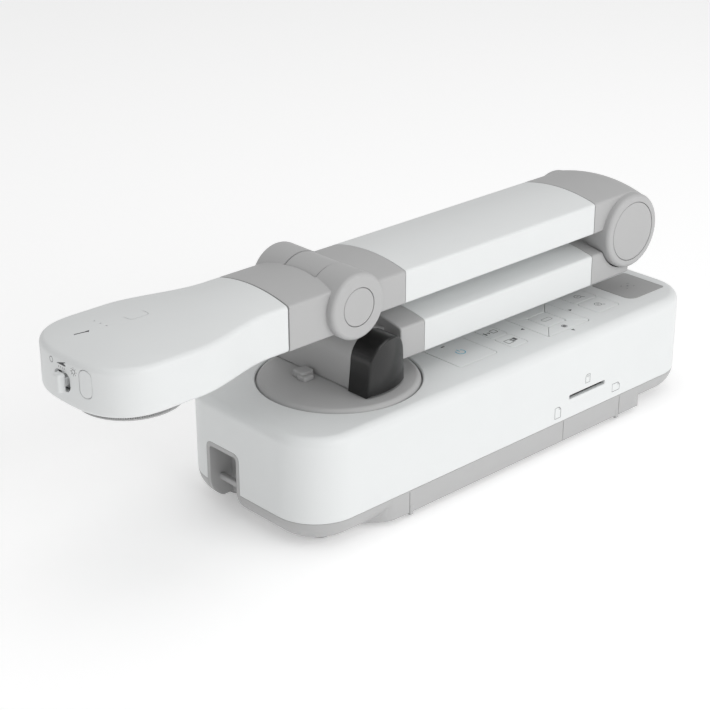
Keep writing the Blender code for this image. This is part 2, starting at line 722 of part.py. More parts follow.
TABLE_TOP = BASE_TOP + TABLE_RISE
TABLE_BOTTOM = TABLE_TOP - TABLE_THICK
BEARING_TOP = BASE_TOP - CASING_ROOF - GAP
SHOULDER_FLOOR = TABLE_TOP + GAP


def build_turntable():
    axis = (TABLE_X, 0)
    bearing = part("turntable_bearing",
                   cylinder("Z", axis, BEARING_TOP - BEARING_THICK, BEARING_TOP,
                            BEARING_RADIUS, ROUND), ALUMINIUM)
    cut(bearing, cylinder("Z", axis, BEARING_TOP - BEARING_THICK - FINE,
                          BEARING_TOP + FINE, HUB_RADIUS + GAP), "bore")
    disc = cylinder("Z", axis, TABLE_BOTTOM, TABLE_TOP, TABLE_RADIUS, ROUND)
    fillet(disc, level("Z", TABLE_TOP), TABLE_RIM_FILLET)
    table = part("turntable", disc, GREY, (TABLE_X, 0, TABLE_TOP))
    hub_end = TABLE_TOP - HUB_LENGTH
    join(table, cylinder("Z", axis, hub_end, TABLE_TOP - TABLE_THICK / 2, HUB_RADIUS), "hub")
    cut(table, cylinder("Z", axis, hub_end - FINE, TABLE_TOP + FINE, HUB_BORE), "cable_way")
    retainer_top = BEARING_TOP - BEARING_THICK - GAP
    retainer = part("turntable_retainer",
                    cylinder("Z", axis, retainer_top - RETAINER_THICK, retainer_top,
                             RETAINER_RADIUS), STEEL, (TABLE_X, 0, retainer_top))
    cut(retainer, cylinder("Z", axis, retainer_top - RETAINER_THICK - FINE,
                           retainer_top + FINE, HUB_RADIUS + GAP), "bore")
    build_lock_button(table)


def build_lock_button(table):
    """The sprung latch in the turntable; it stays above the bearing when pressed."""
    half_x, half_y = LOCK_BUTTON_SIZE[0] / 2, LOCK_BUTTON_SIZE[1] / 2
    low = BEARING_TOP + LOCK_BUTTON_TRAVEL + GAP
    top = TABLE_TOP + LOCK_BUTTON_HEIGHT
    outline = rectangle(LOCK_BUTTON_X - half_x, LOCK_BUTTON_X + half_x,
                        LOCK_BUTTON_Y - half_y, LOCK_BUTTON_Y + half_y, BUTTON_CORNER, 3)
    cap = fillet(prism(outline, "XY", low, top), level("Z", top), LOCK_BUTTON_FILLET, 2)
    part("turn_lock_button", cap, GREY, (LOCK_BUTTON_X, LOCK_BUTTON_Y, TABLE_TOP))
    cut(table, box((LOCK_BUTTON_X - half_x - GAP, LOCK_BUTTON_Y - half_y - GAP,
                    TABLE_BOTTOM - FINE),
                   (LOCK_BUTTON_X + half_x + GAP, LOCK_BUTTON_Y + half_y + GAP,
                    TABLE_TOP + FINE)), "lock_hole")


def build_shoulder():
    """The housing that carries the lower arm: a D-shaped barrel, open to the arm's side."""
    axis = (SHOULDER_X, SHOULDER_Z)
    shape = arch(*axis, SHOULDER_RADIUS, SHOULDER_FLOOR)
    origin = (SHOULDER_X, 0, SHOULDER_Z)
    housing = part("shoulder_housing",
                   prism(shape, "XZ", SHOULDER_FRONT, SHOULDER_REAR), GREY, origin)
    front, rear = SHOULDER_SLOT
    cut(housing, cylinder("Y", axis, front, rear, SHOULDER_KNUCKLE_RADIUS + GAP), "bearing")
    wall = SHOULDER_X - SHOULDER_RADIUS + SHOULDER_WALL_SETBACK
    cut(housing, box((wall, front, SHOULDER_Z),
                     (SHOULDER_X + SHOULDER_RADIUS + FINE, rear,
                      SHOULDER_Z + SHOULDER_RADIUS + FINE)), "slot_top")
    cut(housing, box((SHOULDER_X, front, LOWER_ARM_BOTTOM - GAP),
                     (SHOULDER_X + SHOULDER_RADIUS + FINE, rear, SHOULDER_Z + FINE)),
        "slot_side")
    cut(housing, cylinder("Y", axis, SHOULDER_FRONT - FINE, SHOULDER_REAR + FINE,
                          SHOULDER_PIN_RADIUS + GAP), "pin_bore")
    cut(housing, cylinder("Y", axis, SHOULDER_REAR - SPRING_POCKET_DEPTH,
                          SHOULDER_REAR + FINE, SPRING_POCKET_RADIUS), "spring_pocket")
    part("shoulder_pin",
         cylinder("Y", axis, SHOULDER_FRONT + GAP, SHOULDER_REAR - GAP,
                  SHOULDER_PIN_RADIUS), STEEL, origin)
    caps = {
        "shoulder_front_cap": (SHOULDER_FRONT - GAP - SHOULDER_FRONT_CAP, SHOULDER_FRONT - GAP),
        "shoulder_rear_cap": (SHOULDER_REAR + GAP, SHOULDER_REAR + GAP + SHOULDER_REAR_CAP),
    }
    for name, (low, high) in caps.items():
        outer = low if name == "shoulder_front_cap" else high
        radius = min(SHOULDER_CAP_FILLET, (high - low) / 2)
        cap = part(name, fillet(prism(shape, "XZ", low, high), level("Y", outer), radius, 2),
                   BLACK, origin)
        if name == "shoulder_front_cap":
            combine(cap, "INTERSECT",
                    cylinder("Z", (TABLE_X, 0), TABLE_TOP, SHOULDER_Z + 2 * SHOULDER_RADIUS,
                             SHOULDER_CAP_REACH, 2 * ROUND), "swept_face")
    build_spring()


def build_spring():
    """The counterbalance spring, coiled round the shoulder pin inside the housing."""
    per_turn = 14
    start = SHOULDER_REAR - SPRING_POCKET_DEPTH + GAP + SPRING_WIRE / 2
    curve = bpy.data.curves.new("shoulder_spring", "CURVE")
    curve.dimensions = "3D"
    curve.bevel_depth = SPRING_WIRE / 2
    curve.bevel_resolution = 1
    curve.use_fill_caps = True
    count = SPRING_TURNS * per_turn + 1
    spline = curve.splines.new("POLY")
    spline.points.add(count - 1)
    for k, point in enumerate(spline.points):
        angle = 2 * pi * k / per_turn
        point.co = (SPRING_RADIUS * cos(angle), start + SPRING_PITCH * k / per_turn,
                    SPRING_RADIUS * sin(angle), 1.0)
    spring = bpy.data.objects.new("shoulder_spring", curve)
    spring.location = (SHOULDER_X, 0, SHOULDER_Z)
    curve.materials.append(STEEL)
    PARTS.objects.link(spring)


# ---------------------------------------------------------------- arms


def arm_cover(name, low, half, start, end, look):
    """One half of an arm's sleeve: the crowned upper shell or the flat lower one."""
    split = low + COVER_SPLIT
    upper = half == "upper"
    outer = prism(crowned_section(ARM_HALF_WIDTH, low, ARM_HEIGHT, ARM_CROWN), "YZ",
                  start + GAP, end - GAP)
    cover = part(f"{name}_{half}_cover", outer, look)
    inner = prism(crowned_section(ARM_HALF_WIDTH, low, ARM_HEIGHT, ARM_CROWN, COVER_WALL),
                  "YZ", start - FINE, end + FINE)
    cut(cover, inner, "inside")
    wide = ARM_HALF_WIDTH + FINE
    if upper:
        away = box((start - FINE, -wide, low - FINE), (end + FINE, wide, split + GAP / 2))
    else:
        away = box((start - FINE, -wide, split - GAP / 2),
                   (end + FINE, wide, low + ARM_HEIGHT + ARM_CROWN + FINE))
    cut(cover, away, "other_half")


def arm_beam(name, low, start, end):
    """The channel inside an arm, whose ends sit in sockets in the fittings."""
    middle = low + ARM_HEIGHT / 2
    lower = middle - BEAM_HEIGHT / 2
    beam = part(name, box((start - BEAM_SOCKET + GAP, -BEAM_HALF_WIDTH, lower),
                          (end + BEAM_SOCKET - GAP, BEAM_HALF_WIDTH, lower + BEAM_HEIGHT)),
                ALUMINIUM)
    inner = BEAM_HALF_WIDTH - BEAM_WALL
    cut(beam, box((start - BEAM_SOCKET - FINE, -inner, lower + BEAM_WALL),
                  (end + BEAM_SOCKET + FINE, inner, lower + BEAM_HEIGHT + FINE)), "channel")


def beam_socket(low, start, end):
    middle = low + ARM_HEIGHT / 2
    return box((start, -BEAM_HALF_WIDTH - GAP, middle - BEAM_HEIGHT / 2 - GAP),
               (end, BEAM_HALF_WIDTH + GAP, middle + BEAM_HEIGHT / 2 + GAP))


def arm_section(low, start, end):
    return prism(crowned_section(ARM_HALF_WIDTH, low, ARM_HEIGHT, ARM_CROWN), "YZ", start, end)


def build_lower_arm():
    start, end = LOWER_COVER
    low = LOWER_ARM_BOTTOM
    axis = (SHOULDER_X, SHOULDER_Z)
    root = part("lower_arm_root", arm_section(low, LOWER_ARM_START, start), GREY,
                (SHOULDER_X, 0, SHOULDER_Z))
    front, rear = SHOULDER_SLOT[0] + GAP, SHOULDER_SLOT[1] - GAP
    tongue_top = SHOULDER_X - SHOULDER_RADIUS + SHOULDER_WALL_SETBACK
    join(root, box((SHOULDER_X, front, low), (LOWER_ARM_START + FINE, rear,
                    SHOULDER_Z + (SHOULDER_X - tongue_top) - 2 * GAP)), "tongue")
    join(root, cylinder("Y", axis, front, rear, SHOULDER_KNUCKLE_RADIUS), "knuckle")
    cut(root, cylinder("Y", axis, front - FINE, rear + FINE, SHOULDER_PIN_RADIUS + GAP),
        "pin_bore")
    cut(root, beam_socket(low, start - BEAM_SOCKET, start + FINE), "beam_socket")
    for half in ("upper", "lower"):
        arm_cover("lower_arm", low, half, start, end, WHITE)
    arm_beam("lower_arm_beam", low, start, end)
    build_lower_elbow(low, end)


def build_lower_elbow(low, start):
    """The lower arm's far end: a central knuckle over a cradle for the outer barrels."""
    axis = (ELBOW_X, ELBOW_Z)
    end = ELBOW_X + ELBOW_CRADLE_END
    fork = part("lower_arm_elbow_end", arm_section(low, start, end), GREY, (ELBOW_X, 0, ELBOW_Z))
    join(fork, cylinder("Y", axis, -ELBOW_OUTER, ELBOW_OUTER, ELBOW_KNUCKLE_RADIUS,
                        ROUND), "knuckle")
    for side in (-1, 1):
        near, far = side * ELBOW_KNUCKLE, side * (ELBOW_OUTER + FINE)
        cut(fork, cylinder("Y", axis, near, far, ELBOW_RADIUS + 2 * GAP, ROUND),
            "front_sweep" if side < 0 else "rear_sweep")
    cut(fork, cylinder("Y", axis, -ELBOW_OUTER, ELBOW_OUTER, ELBOW_PIN_RADIUS + GAP),
        "pin_bore")
    cut(fork, beam_socket(low, start - FINE, start + BEAM_SOCKET), "beam_socket")


def elbow_hood(low):
    """The upper arm's crowned back, turned down round the elbow's axis."""
    bottom = ELBOW_Z + ELBOW_HOOD_ROOT
    overlap = radians(3)
    outline = crowned_section(ARM_HALF_WIDTH, bottom, low + ARM_HEIGHT - bottom, ARM_CROWN)
    hood = bmesh.new()
    hood.faces.new([hood.verts.new((ELBOW_X, y, z)) for y, z in outline])
    axis = {"cent": (ELBOW_X, 0, ELBOW_Z), "matrix": Matrix.Rotation(-overlap, 3, "Y")}
    bmesh.ops.rotate(hood, verts=hood.verts, **axis)
    bmesh.ops.spin(hood, geom=hood.verts[:] + hood.edges[:] + hood.faces[:],
                   cent=axis["cent"], axis=(0, 1, 0), angle=ELBOW_HOOD_ANGLE + overlap,
                   steps=STEPS, use_duplicate=False)
    bmesh.ops.holes_fill(hood, edges=[edge for edge in hood.edges if edge.is_boundary])
    bmesh.ops.recalc_face_normals(hood, faces=hood.faces)
    return hood


def build_upper_arm():
    start, end = UPPER_COVER
    low = UPPER_ARM_BOTTOM
    build_upper_elbow(low, end)
    for half in ("upper", "lower"):
        arm_cover("upper_arm", low, half, start, end, WHITE)
    arm_beam("upper_arm_beam", low, start, end)
    axis = (TILT_X, TILT_Z)
    head_end = part("upper_arm_head_end", arm_section(low, TILT_X, start), GREY,
                    (TILT_X, 0, TILT_Z))
    join(head_end, cylinder("Y", axis, -TILT_OUTER, TILT_OUTER, TILT_KNUCKLE_RADIUS,
                            ROUND), "knuckle")
    for side in (-1, 1):
        near, far = side * TILT_KNUCKLE, side * (TILT_OUTER + FINE)
        cut(head_end, cylinder("Y", axis, near, far, TILT_SWEEP_RADIUS, ROUND),
            "front_sweep" if side < 0 else "rear_sweep")
    cut(head_end, cylinder("Y", axis, -TILT_OUTER, TILT_OUTER, TILT_PIN_RADIUS + GAP),
        "pin_bore")
    cut(head_end, beam_socket(low, start - BEAM_SOCKET, start + FINE), "beam_socket")


def build_upper_elbow(low, start):
    """The upper arm's elbow end: two outer barrels joined by the hood over the knuckle."""
    axis = (ELBOW_X, ELBOW_Z)
    elbow = part("upper_arm_elbow_end", arm_section(low, start, ELBOW_X), GREY,
                 (ELBOW_X, 0, ELBOW_Z))
    join(elbow, elbow_hood(low), "hood")
    join(elbow, hinge_barrel(axis, ELBOW_OUTER, ELBOW_RADIUS, ELBOW_FILLET), "barrel",
         solver="MANIFOLD")
    cut(elbow, cylinder("Y", axis, -ELBOW_INNER, ELBOW_INNER,
                        ELBOW_KNUCKLE_RADIUS + 2 * GAP, ROUND), "knuckle_room")
    cut(elbow, cylinder("Y", axis, -ELBOW_OUTER - FINE, ELBOW_OUTER + FINE,
                        ELBOW_PIN_RADIUS + GAP), "pin_bore")
    for side in (-1, 1):
        recess = cylinder("Y", axis, side * (ELBOW_OUTER - CAP_THICK - GAP),
                          side * (ELBOW_OUTER + FINE), ELBOW_CAP_RADIUS + GAP, ROUND)
        cut(elbow, recess, "front_recess" if side < 0 else "rear_recess")
    cut(elbow, beam_socket(low, start - FINE, start + BEAM_SOCKET), "beam_socket")
    hinge_trim("elbow", axis, ELBOW_OUTER, ELBOW_CAP_RADIUS, ELBOW_PIN_RADIUS)


def hinge_barrel(axis, outer, radius, rounding):
    """A hinge's barrel right across, before the knuckle's room is cut from its middle."""
    barrel = cylinder("Y", axis, -outer, outer, radius, ROUND)
    for side in (-1, 1):
        fillet(barrel, level("Y", side * outer), rounding, 1)
    return barrel


def hinge_trim(name, axis, outer, cap_radius, pin_radius):
    """A hinge's pin and the two flush discs that cover its ends."""
    origin = (axis[0], 0, axis[1])
    reach = outer - CAP_THICK - 2 * GAP
    part(f"{name}_pin", cylinder("Y", axis, -reach, reach, pin_radius), STEEL, origin)
    for side, face in ((-1, "front"), (1, "rear")):
        disc = cylinder("Y", axis, side * (outer - CAP_THICK), side * outer, cap_radius, ROUND)
        part(f"{name}_{face}_cap", disc, GREY, origin)


# ---------------------------------------------------------------- neck and head


def build_neck():
    axis = (TILT_X, TILT_Z)
    end = ROLL_X + ROLL_GAP / 2
    body = prism(crowned_section(ARM_HALF_WIDTH, NECK_BOTTOM, NECK_HEIGHT, NECK_CROWN), "YZ",
                 end, TILT_X)
    neck = part("neck", body, GREY, (TILT_X, 0, TILT_Z))
    join(neck, hinge_barrel(axis, TILT_OUTER, TILT_RADIUS, TILT_FILLET), "barrel")
    cut(neck, cylinder("Y", axis, -TILT_INNER, TILT_INNER, TILT_SWEEP_RADIUS, ROUND),
        "knuckle_room")
    cut(neck, cylinder("Y", axis, -TILT_OUTER - FINE, TILT_OUTER + FINE,
                       TILT_PIN_RADIUS + GAP), "pin_bore")
    for side in (-1, 1):
        recess = cylinder("Y", axis, side * (TILT_OUTER - CAP_THICK - GAP),
                          side * (TILT_OUTER + FINE), TILT_CAP_RADIUS + GAP, ROUND)
        cut(neck, recess, "front_recess" if side < 0 else "rear_recess")
    cut(neck, cylinder("X", (0, ROLL_Z), end - FINE, end + ROLL_SHAFT_IN_NECK + GAP,
                       ROLL_SHAFT_RADIUS + GAP), "shaft_bore")
    hinge_trim("tilt", axis, TILT_OUTER, TILT_CAP_RADIUS, TILT_PIN_RADIUS)


def build_head():
    start = ROLL_X - ROLL_GAP / 2
    shell = prism(head_outline(start), "XY", HEAD_BOTTOM, HEAD_TOP)
    fillet(shell, level("Z", HEAD_TOP), HEAD_TOP_FILLET)
    origin = (ROLL_X, 0, ROLL_Z)
    head = part("head_shell", shell, WHITE, origin)
    inner_start = start - HEAD_WALL
    inside = prism(head_outline(inner_start, HEAD_WALL), "XY", HEAD_BOTTOM - FINE,
                   HEAD_TOP - HEAD_WALL)
    cut(head, inside, "inside")
    shaft_start = start + ROLL_GAP + ROLL_SHAFT_IN_NECK
    shaft_end = inner_start - ROLL_SHAFT_IN_HEAD
    cut(head, cylinder("X", (0, ROLL_Z), inner_start - FINE, start + FINE,
                       ROLL_SHAFT_RADIUS + GAP), "shaft_hole")
    shaft = part("roll_shaft", cylinder("X", (0, ROLL_Z), shaft_end, shaft_start,
                                        ROLL_SHAFT_RADIUS), STEEL, origin)
    cut(shaft, cylinder("X", (0, ROLL_Z), shaft_end - FINE, shaft_start + FINE,
                        ROLL_SHAFT_BORE), "cable_way")
    floor = part("head_floor",
                 prism(head_outline(inner_start - GAP, HEAD_WALL + GAP), "XY", HEAD_BOTTOM,
                       HEAD_BOTTOM + HEAD_FLOOR), WHITE, origin)
    cut(floor, cylinder("Z", (LENS_X, 0), HEAD_BOTTOM - FINE, HEAD_BOTTOM + HEAD_FLOOR + FINE,
                        LENS_BARREL_RADIUS + GAP, ROUND), "lens_hole")
    cut(floor, cylinder("Z", (LIGHT_X, 0), HEAD_BOTTOM - FINE, HEAD_BOTTOM + HEAD_FLOOR + FINE,
                        LIGHT_RADIUS + GAP), "light_hole")
    build_camera(origin)
    build_slider(head, origin)


def build_camera(origin):
    """The lens, its knurled ring and the sensor board, and the light beside them."""
    axis = (LENS_X, 0)
    low = HEAD_BOTTOM - LENS_RING_DROP
    ring = part("lens_ring", cylinder("Z", axis, low, HEAD_BOTTOM - GAP, LENS_RING_RADIUS,
                                      ROUND), GREY, (LENS_X, 0, HEAD_BOTTOM))
    cut(ring, cylinder("Z", axis, low - FINE, HEAD_BOTTOM + FINE, LENS_RING_BORE, ROUND),
        "bore")
    barrel = part("lens_barrel", cylinder("Z", axis, low + FINE, LENS_BARREL_TOP,
                                          LENS_BARREL_RADIUS, ROUND), BLACK, origin)
    cut(barrel, cylinder("Z", axis, low, LENS_BARREL_TOP - FINE, LENS_BARREL_BORE), "bore")
    glass_low = low + 2 * FINE
    glass = cylinder("Z", axis, glass_low, glass_low + LENS_GLASS_THICK,
                     LENS_BARREL_BORE - GAP)
    fillet(glass, level("Z", glass_low), LENS_GLASS_THICK / 2, 2)
    part("lens_glass", glass, GLASS, origin)
    low = LENS_BARREL_TOP + GAP
    part("sensor_board", centred_box((LENS_X, 0, low + SENSOR_SIZE[2] / 2), SENSOR_SIZE),
         BOARD, origin)
    window = cylinder("Z", (LIGHT_X, 0), HEAD_BOTTOM, HEAD_BOTTOM + LIGHT_HEIGHT, LIGHT_RADIUS)
    part("light_window", window, DIFFUSER, origin)


def build_slider(head, origin):
    """The light's slider in the head's end, on a shank through a slot in the wall."""
    face = HEAD_TIP
    height, width = SLIDER_SIZE[1], SLIDER_SIZE[0]
    shank = height / 2
    low, high = SLIDER_SLOT
    cut(head, box((face - FINE, low - shank / 2 - GAP, SLIDER_Z - shank / 2 - GAP),
                  (face + 2 * HEAD_WALL + FINE, high + shank / 2 + GAP,
                   SLIDER_Z + shank / 2 + GAP)), "slider_slot")
    knob = centred_box((face - SLIDER_PROUD / 2 - GAP, SLIDER_Y, SLIDER_Z),
                       (SLIDER_PROUD, width, height))
    fillet(knob, lambda edge: True, SLIDER_EDGE, 1)
    neck = width / 2 - SLIDER_SHANK_INSET
    slider = part("light_slider", knob, WHITE, origin)
    join(slider, box((face - SLIDER_PROUD / 2, SLIDER_Y - neck, SLIDER_Z - shank / 2),
                     (face + SLIDER_SHANK, SLIDER_Y + neck, SLIDER_Z + shank / 2)), "shank")


build_casing()
build_tray()
build_feet()
build_notch()
build_card_socket()
build_ports()
build_base_inside()
build_buttons()
build_turntable()
build_shoulder()
build_lower_arm()
build_upper_arm()
build_neck()
build_head()
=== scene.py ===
"""The looks of the folding document camera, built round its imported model.

Each visible piece takes its size and place from the box of the node that it stands for,
and rides on that node's body. Metres, +Z up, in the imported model's own frame.
"""
import json
from math import cos, pi, radians, sin, sqrt, tan

import bmesh
import bpy
from mathutils import Matrix, Vector
from mathutils.bvhtree import BVHTree

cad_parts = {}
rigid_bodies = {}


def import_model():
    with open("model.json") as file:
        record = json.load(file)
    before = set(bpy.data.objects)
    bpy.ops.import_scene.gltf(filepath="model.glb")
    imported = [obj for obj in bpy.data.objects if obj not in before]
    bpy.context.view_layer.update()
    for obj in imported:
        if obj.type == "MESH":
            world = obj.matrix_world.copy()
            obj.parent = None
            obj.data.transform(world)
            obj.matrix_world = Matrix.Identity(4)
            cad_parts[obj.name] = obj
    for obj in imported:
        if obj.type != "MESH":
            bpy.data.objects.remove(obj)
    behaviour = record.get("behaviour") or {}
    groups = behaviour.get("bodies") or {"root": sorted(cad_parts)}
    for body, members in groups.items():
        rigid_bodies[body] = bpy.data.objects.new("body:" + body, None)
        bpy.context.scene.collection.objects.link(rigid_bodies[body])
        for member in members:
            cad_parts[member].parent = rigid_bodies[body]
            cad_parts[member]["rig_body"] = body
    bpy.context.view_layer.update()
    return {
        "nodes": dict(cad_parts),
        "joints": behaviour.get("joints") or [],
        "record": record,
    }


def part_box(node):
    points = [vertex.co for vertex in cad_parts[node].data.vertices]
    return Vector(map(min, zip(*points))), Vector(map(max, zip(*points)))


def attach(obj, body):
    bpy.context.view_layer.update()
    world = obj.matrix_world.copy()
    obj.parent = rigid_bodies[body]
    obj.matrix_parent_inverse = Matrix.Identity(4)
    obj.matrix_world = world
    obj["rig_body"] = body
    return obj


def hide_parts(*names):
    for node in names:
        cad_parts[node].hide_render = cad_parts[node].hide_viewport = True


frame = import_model()
SLOT_OF = {row["node"]: row["material_slot"] for row in frame["record"]["subparts"]}
JOINTS = {joint["name"]: joint for joint in frame["joints"]}

# Sizes that the boxes don't give
SEAM = 0.00012  # half of a parting line's width
CUT = 0.002  # how far a cutter runs past the face that it cuts
BASE_CORNER = 0.023
BASE_LOWER_ROUND = 0.0125
BASE_UPPER_ROUND = 0.0045
CASING_WALL = 0.0022
CASING_ROOF = 0.0026
CROWN = 0.0032
TOP_EDGE = 0.0015
BOTTOM_EDGE = 0.0012
ELBOW_HOOD = radians(45)
HEAD_HALF_NECK = 0.0236
HEAD_FLARE = (-0.132, -0.178)
HEAD_END_LENGTH = 0.029
HEAD_END_POWER = 2.6
INK_THICK = 0.00003


def low(node):
    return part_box(node)[0]


def high(node):
    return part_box(node)[1]


def middle(node):
    return (low(node) + high(node)) / 2


def half_width(node):
    """Half of the node's box along X, which is the radius of a turned piece."""
    return (high(node).x - low(node).x) / 2


def quarter(steps):
    """The angles of a quarter circle."""
    return [pi / 2 * k / steps for k in range(steps + 1)]


# ---------------------------------------------------------------- materials

MOTTLE_SCALE = 60
GRAIN_SCALE = 2600
GRAIN_DEPTH = 0.00006
EDGE_RADIUS = 0.0004  # how far in from an edge the wear reaches
ROUGHNESS_SPREAD = 0.03


def plastic(name, colour, roughness, spark=0.10, speckle=0.015, wear=0.06, coat=0.0):
    """Moulded plastic: a spark-eroded grain, a faint mottle and slightly polished edges."""
    made = bpy.data.materials.new(name)
    made.use_nodes = True
    nodes, links = made.node_tree.nodes, made.node_tree.links
    shader = nodes["Principled BSDF"]
    place = nodes.new("ShaderNodeTexCoord").outputs["Object"]

    def add(kind, **values):
        node = nodes.new(f"ShaderNode{kind}")
        for socket, value in values.items():
            node.inputs[socket.replace("_", " ")].default_value = value
        return node

    def noise(scale, detail):
        node = add("TexNoise", Scale=scale, Detail=detail)
        links.new(place, node.inputs["Vector"])
        return node.outputs["Fac"]

    mottle, grain = noise(MOTTLE_SCALE, 4), noise(GRAIN_SCALE, 3)
    tint = nodes.new("ShaderNodeMix")
    tint.data_type = "RGBA"
    tint.inputs["A"].default_value = (*[c * (1 - speckle) for c in colour], 1)
    tint.inputs["B"].default_value = (*[min(c * (1 + speckle), 1) for c in colour], 1)
    links.new(mottle, tint.inputs["Factor"])
    links.new(tint.outputs["Result"], shader.inputs["Base Color"])

    corner = add("Bevel", Radius=EDGE_RADIUS)
    corner.samples = 4
    shape = nodes.new("ShaderNodeNewGeometry")
    facing = nodes.new("ShaderNodeVectorMath")
    facing.operation = "DOT_PRODUCT"
    links.new(corner.outputs["Normal"], facing.inputs[0])
    links.new(shape.outputs["Normal"], facing.inputs[1])
    edge = add("MapRange", From_Min=0.75, From_Max=0.99, To_Min=wear, To_Max=0.0)
    links.new(facing.outputs["Value"], edge.inputs["Value"])
    spread = add("MapRange", From_Min=0.3, From_Max=0.7, To_Min=roughness - ROUGHNESS_SPREAD,
                 To_Max=roughness + ROUGHNESS_SPREAD)
    links.new(grain, spread.inputs["Value"])
    rough = nodes.new("ShaderNodeMath")
    rough.operation = "SUBTRACT"
    links.new(spread.outputs["Result"], rough.inputs[0])
    links.new(edge.outputs["Result"], rough.inputs[1])
    links.new(rough.outputs["Value"], shader.inputs["Roughness"])

    bump = add("Bump", Strength=spark, Distance=GRAIN_DEPTH)
    links.new(grain, bump.inputs["Height"])
    links.new(corner.outputs["Normal"], bump.inputs["Normal"])
    links.new(bump.outputs["Normal"], shader.inputs["Normal"])
    shader.inputs["Coat Weight"].default_value = coat
    shader.inputs["Coat Roughness"].default_value = 0.12
    return made


def metal(name, colour, roughness, along):
    """Machined metal with fine tool marks running along one axis."""
    made = plastic(name, colour, roughness, 0.05, 0.03, 0.08)
    shader = made.node_tree.nodes["Principled BSDF"]
    shader.inputs["Metallic"].default_value = 1.0
    for node in made.node_tree.nodes:
        if node.type == "TEX_NOISE" and node.inputs["Scale"].default_value == GRAIN_SCALE:
            stretch = made.node_tree.nodes.new("ShaderNodeMapping")
            stretch.inputs["Scale"].default_value = [0.05 if axis == along else 1.0
                                                     for axis in "XYZ"]
            source = node.inputs["Vector"].links[0].from_socket
            made.node_tree.links.new(source, stretch.inputs["Vector"])
            made.node_tree.links.new(stretch.outputs["Vector"], node.inputs["Vector"])
    return made


def ink(name, colour):
    return plastic(name, colour, 0.55, 0.05, 0.05, 0.0)


def glass(name, colour, roughness):
    """Coated lens glass: dark, glossy, with a faint coloured sheen."""
    made = plastic(name, colour, roughness, 0.0, 0.05, 0.0, 1.0)
    made.node_tree.nodes["Principled BSDF"].inputs["Coat Tint"].default_value = (0.8, 0.85, 1, 1)
    return made


LOOKS = {
    "white_plastic": plastic("white_plastic", (0.76, 0.775, 0.775), 0.38),
    "light_grey_plastic": plastic("light_grey_plastic", (0.455, 0.455, 0.455), 0.42),
    "key_grey_plastic": plastic("key_grey_plastic", (0.37, 0.37, 0.37), 0.42),
    "black_plastic": plastic("black_plastic", (0.008, 0.008, 0.008), 0.24, 0.03, 0.05, 0.05),
    "foot_rubber": plastic("foot_rubber", (0.36, 0.36, 0.36), 0.75, 0.5, 0.06, 0.0),
    "steel": metal("steel", (0.55, 0.55, 0.56), 0.30, "Y"),
    "aluminium": metal("aluminium", (0.72, 0.72, 0.73), 0.35, "X"),
    "circuit_board": plastic("circuit_board", (0.03, 0.16, 0.08), 0.45, 0.3, 0.2, 0.0),
    "lens_glass": glass("lens_glass", (0.012, 0.014, 0.022), 0.06),
    "light_window": plastic("light_window", (0.85, 0.85, 0.80), 0.18, 0.2, 0.02, 0.0, 0.5),
}
DARK_INK = ink("dark_ink", (0.06, 0.06, 0.065))
PALE_INK = ink("pale_ink", (0.20, 0.20, 0.21))
CYAN_INK = ink("cyan_ink", (0.05, 0.48, 0.66))


# ---------------------------------------------------------------- outlines


def rounded(corners, steps=8):
    """The outline of a polygon whose corners, each (u, v, radius), are round."""
    points = []
    for i, (u, v, radius) in enumerate(corners):
        here = Vector((u, v))
        if radius <= 0:
            points.append((u, v))
            continue
        back = (Vector(corners[i - 1][:2]) - here).normalized()
        ahead = (Vector(corners[(i + 1) % len(corners)][:2]) - here).normalized()
        half = back.angle(ahead) / 2
        centre = here + (back + ahead).normalized() * radius / sin(half)
        first = here + back * radius / tan(half) - centre
        turn = first.angle_signed(here + ahead * radius / tan(half) - centre)
        for k in range(steps + 1):
            spoke = first.copy()
            spoke.rotate(Matrix.Rotation(-turn * k / steps, 2))
            points.append(tuple(centre + spoke))
    return points


def rectangle(low_u, high_u, low_v, high_v, radius=0.0, steps=8):
    return rounded([(low_u, low_v, radius), (high_u, low_v, radius),
                    (high_u, high_v, radius), (low_u, high_v, radius)], steps)


def arch(x, z, radius, bottom):
    """A D shape: straight sides up to height z and half a circle above."""
    sides, steps = 6, 32
    rise = [bottom + (z - bottom) * k / sides for k in range(sides)]
    points = [(x + radius, height) for height in rise]
    points += [(x + radius * cos(pi * k / steps), z + radius * sin(pi * k / steps))
               for k in range(steps + 1)]
    return points + [(x - radius, height) for height in reversed(rise)]


def crowned(half, bottom, side_top, edge=TOP_EDGE):
    """An arm's section in Y and Z: a flat bottom, upright sides and an arched top."""
    top = [(half * c, side_top + CROWN * (1 - c * c), 0)
           for c in [0.9 - 1.8 * k / 26 for k in range(27)]]
    return rounded([(-half, bottom, BOTTOM_EDGE), (half, bottom, BOTTOM_EDGE),
                    (half, side_top, edge)] + top + [(-half, side_top, edge)], 6)


def inset_outline(outline, inset):
    """The outline moved inwards by inset; it runs counter-clockwise."""
    if inset == 0:
        return outline
    moved = []
    for i, point in enumerate(outline):
        here = Vector(point)
        back = (here - Vector(outline[i - 1])).normalized()
        ahead = (Vector(outline[(i + 1) % len(outline)]) - here).normalized()
        normal = Vector((-back.y - ahead.y, back.x + ahead.x))
        normal.normalize()
        lean = max(normal.dot(Vector((-ahead.y, ahead.x))), 0.5)
        moved.append(tuple(here + normal * inset / lean))
    return moved


# ---------------------------------------------------------------- solids

PLANES = {  # how an outline's u, v and the distance along the third axis map to X, Y, Z
    "XY": lambda u, v, w: (u, v, w),
    "XZ": lambda u, v, w: (u, w, v),
    "YZ": lambda u, v, w: (w, u, v),
}


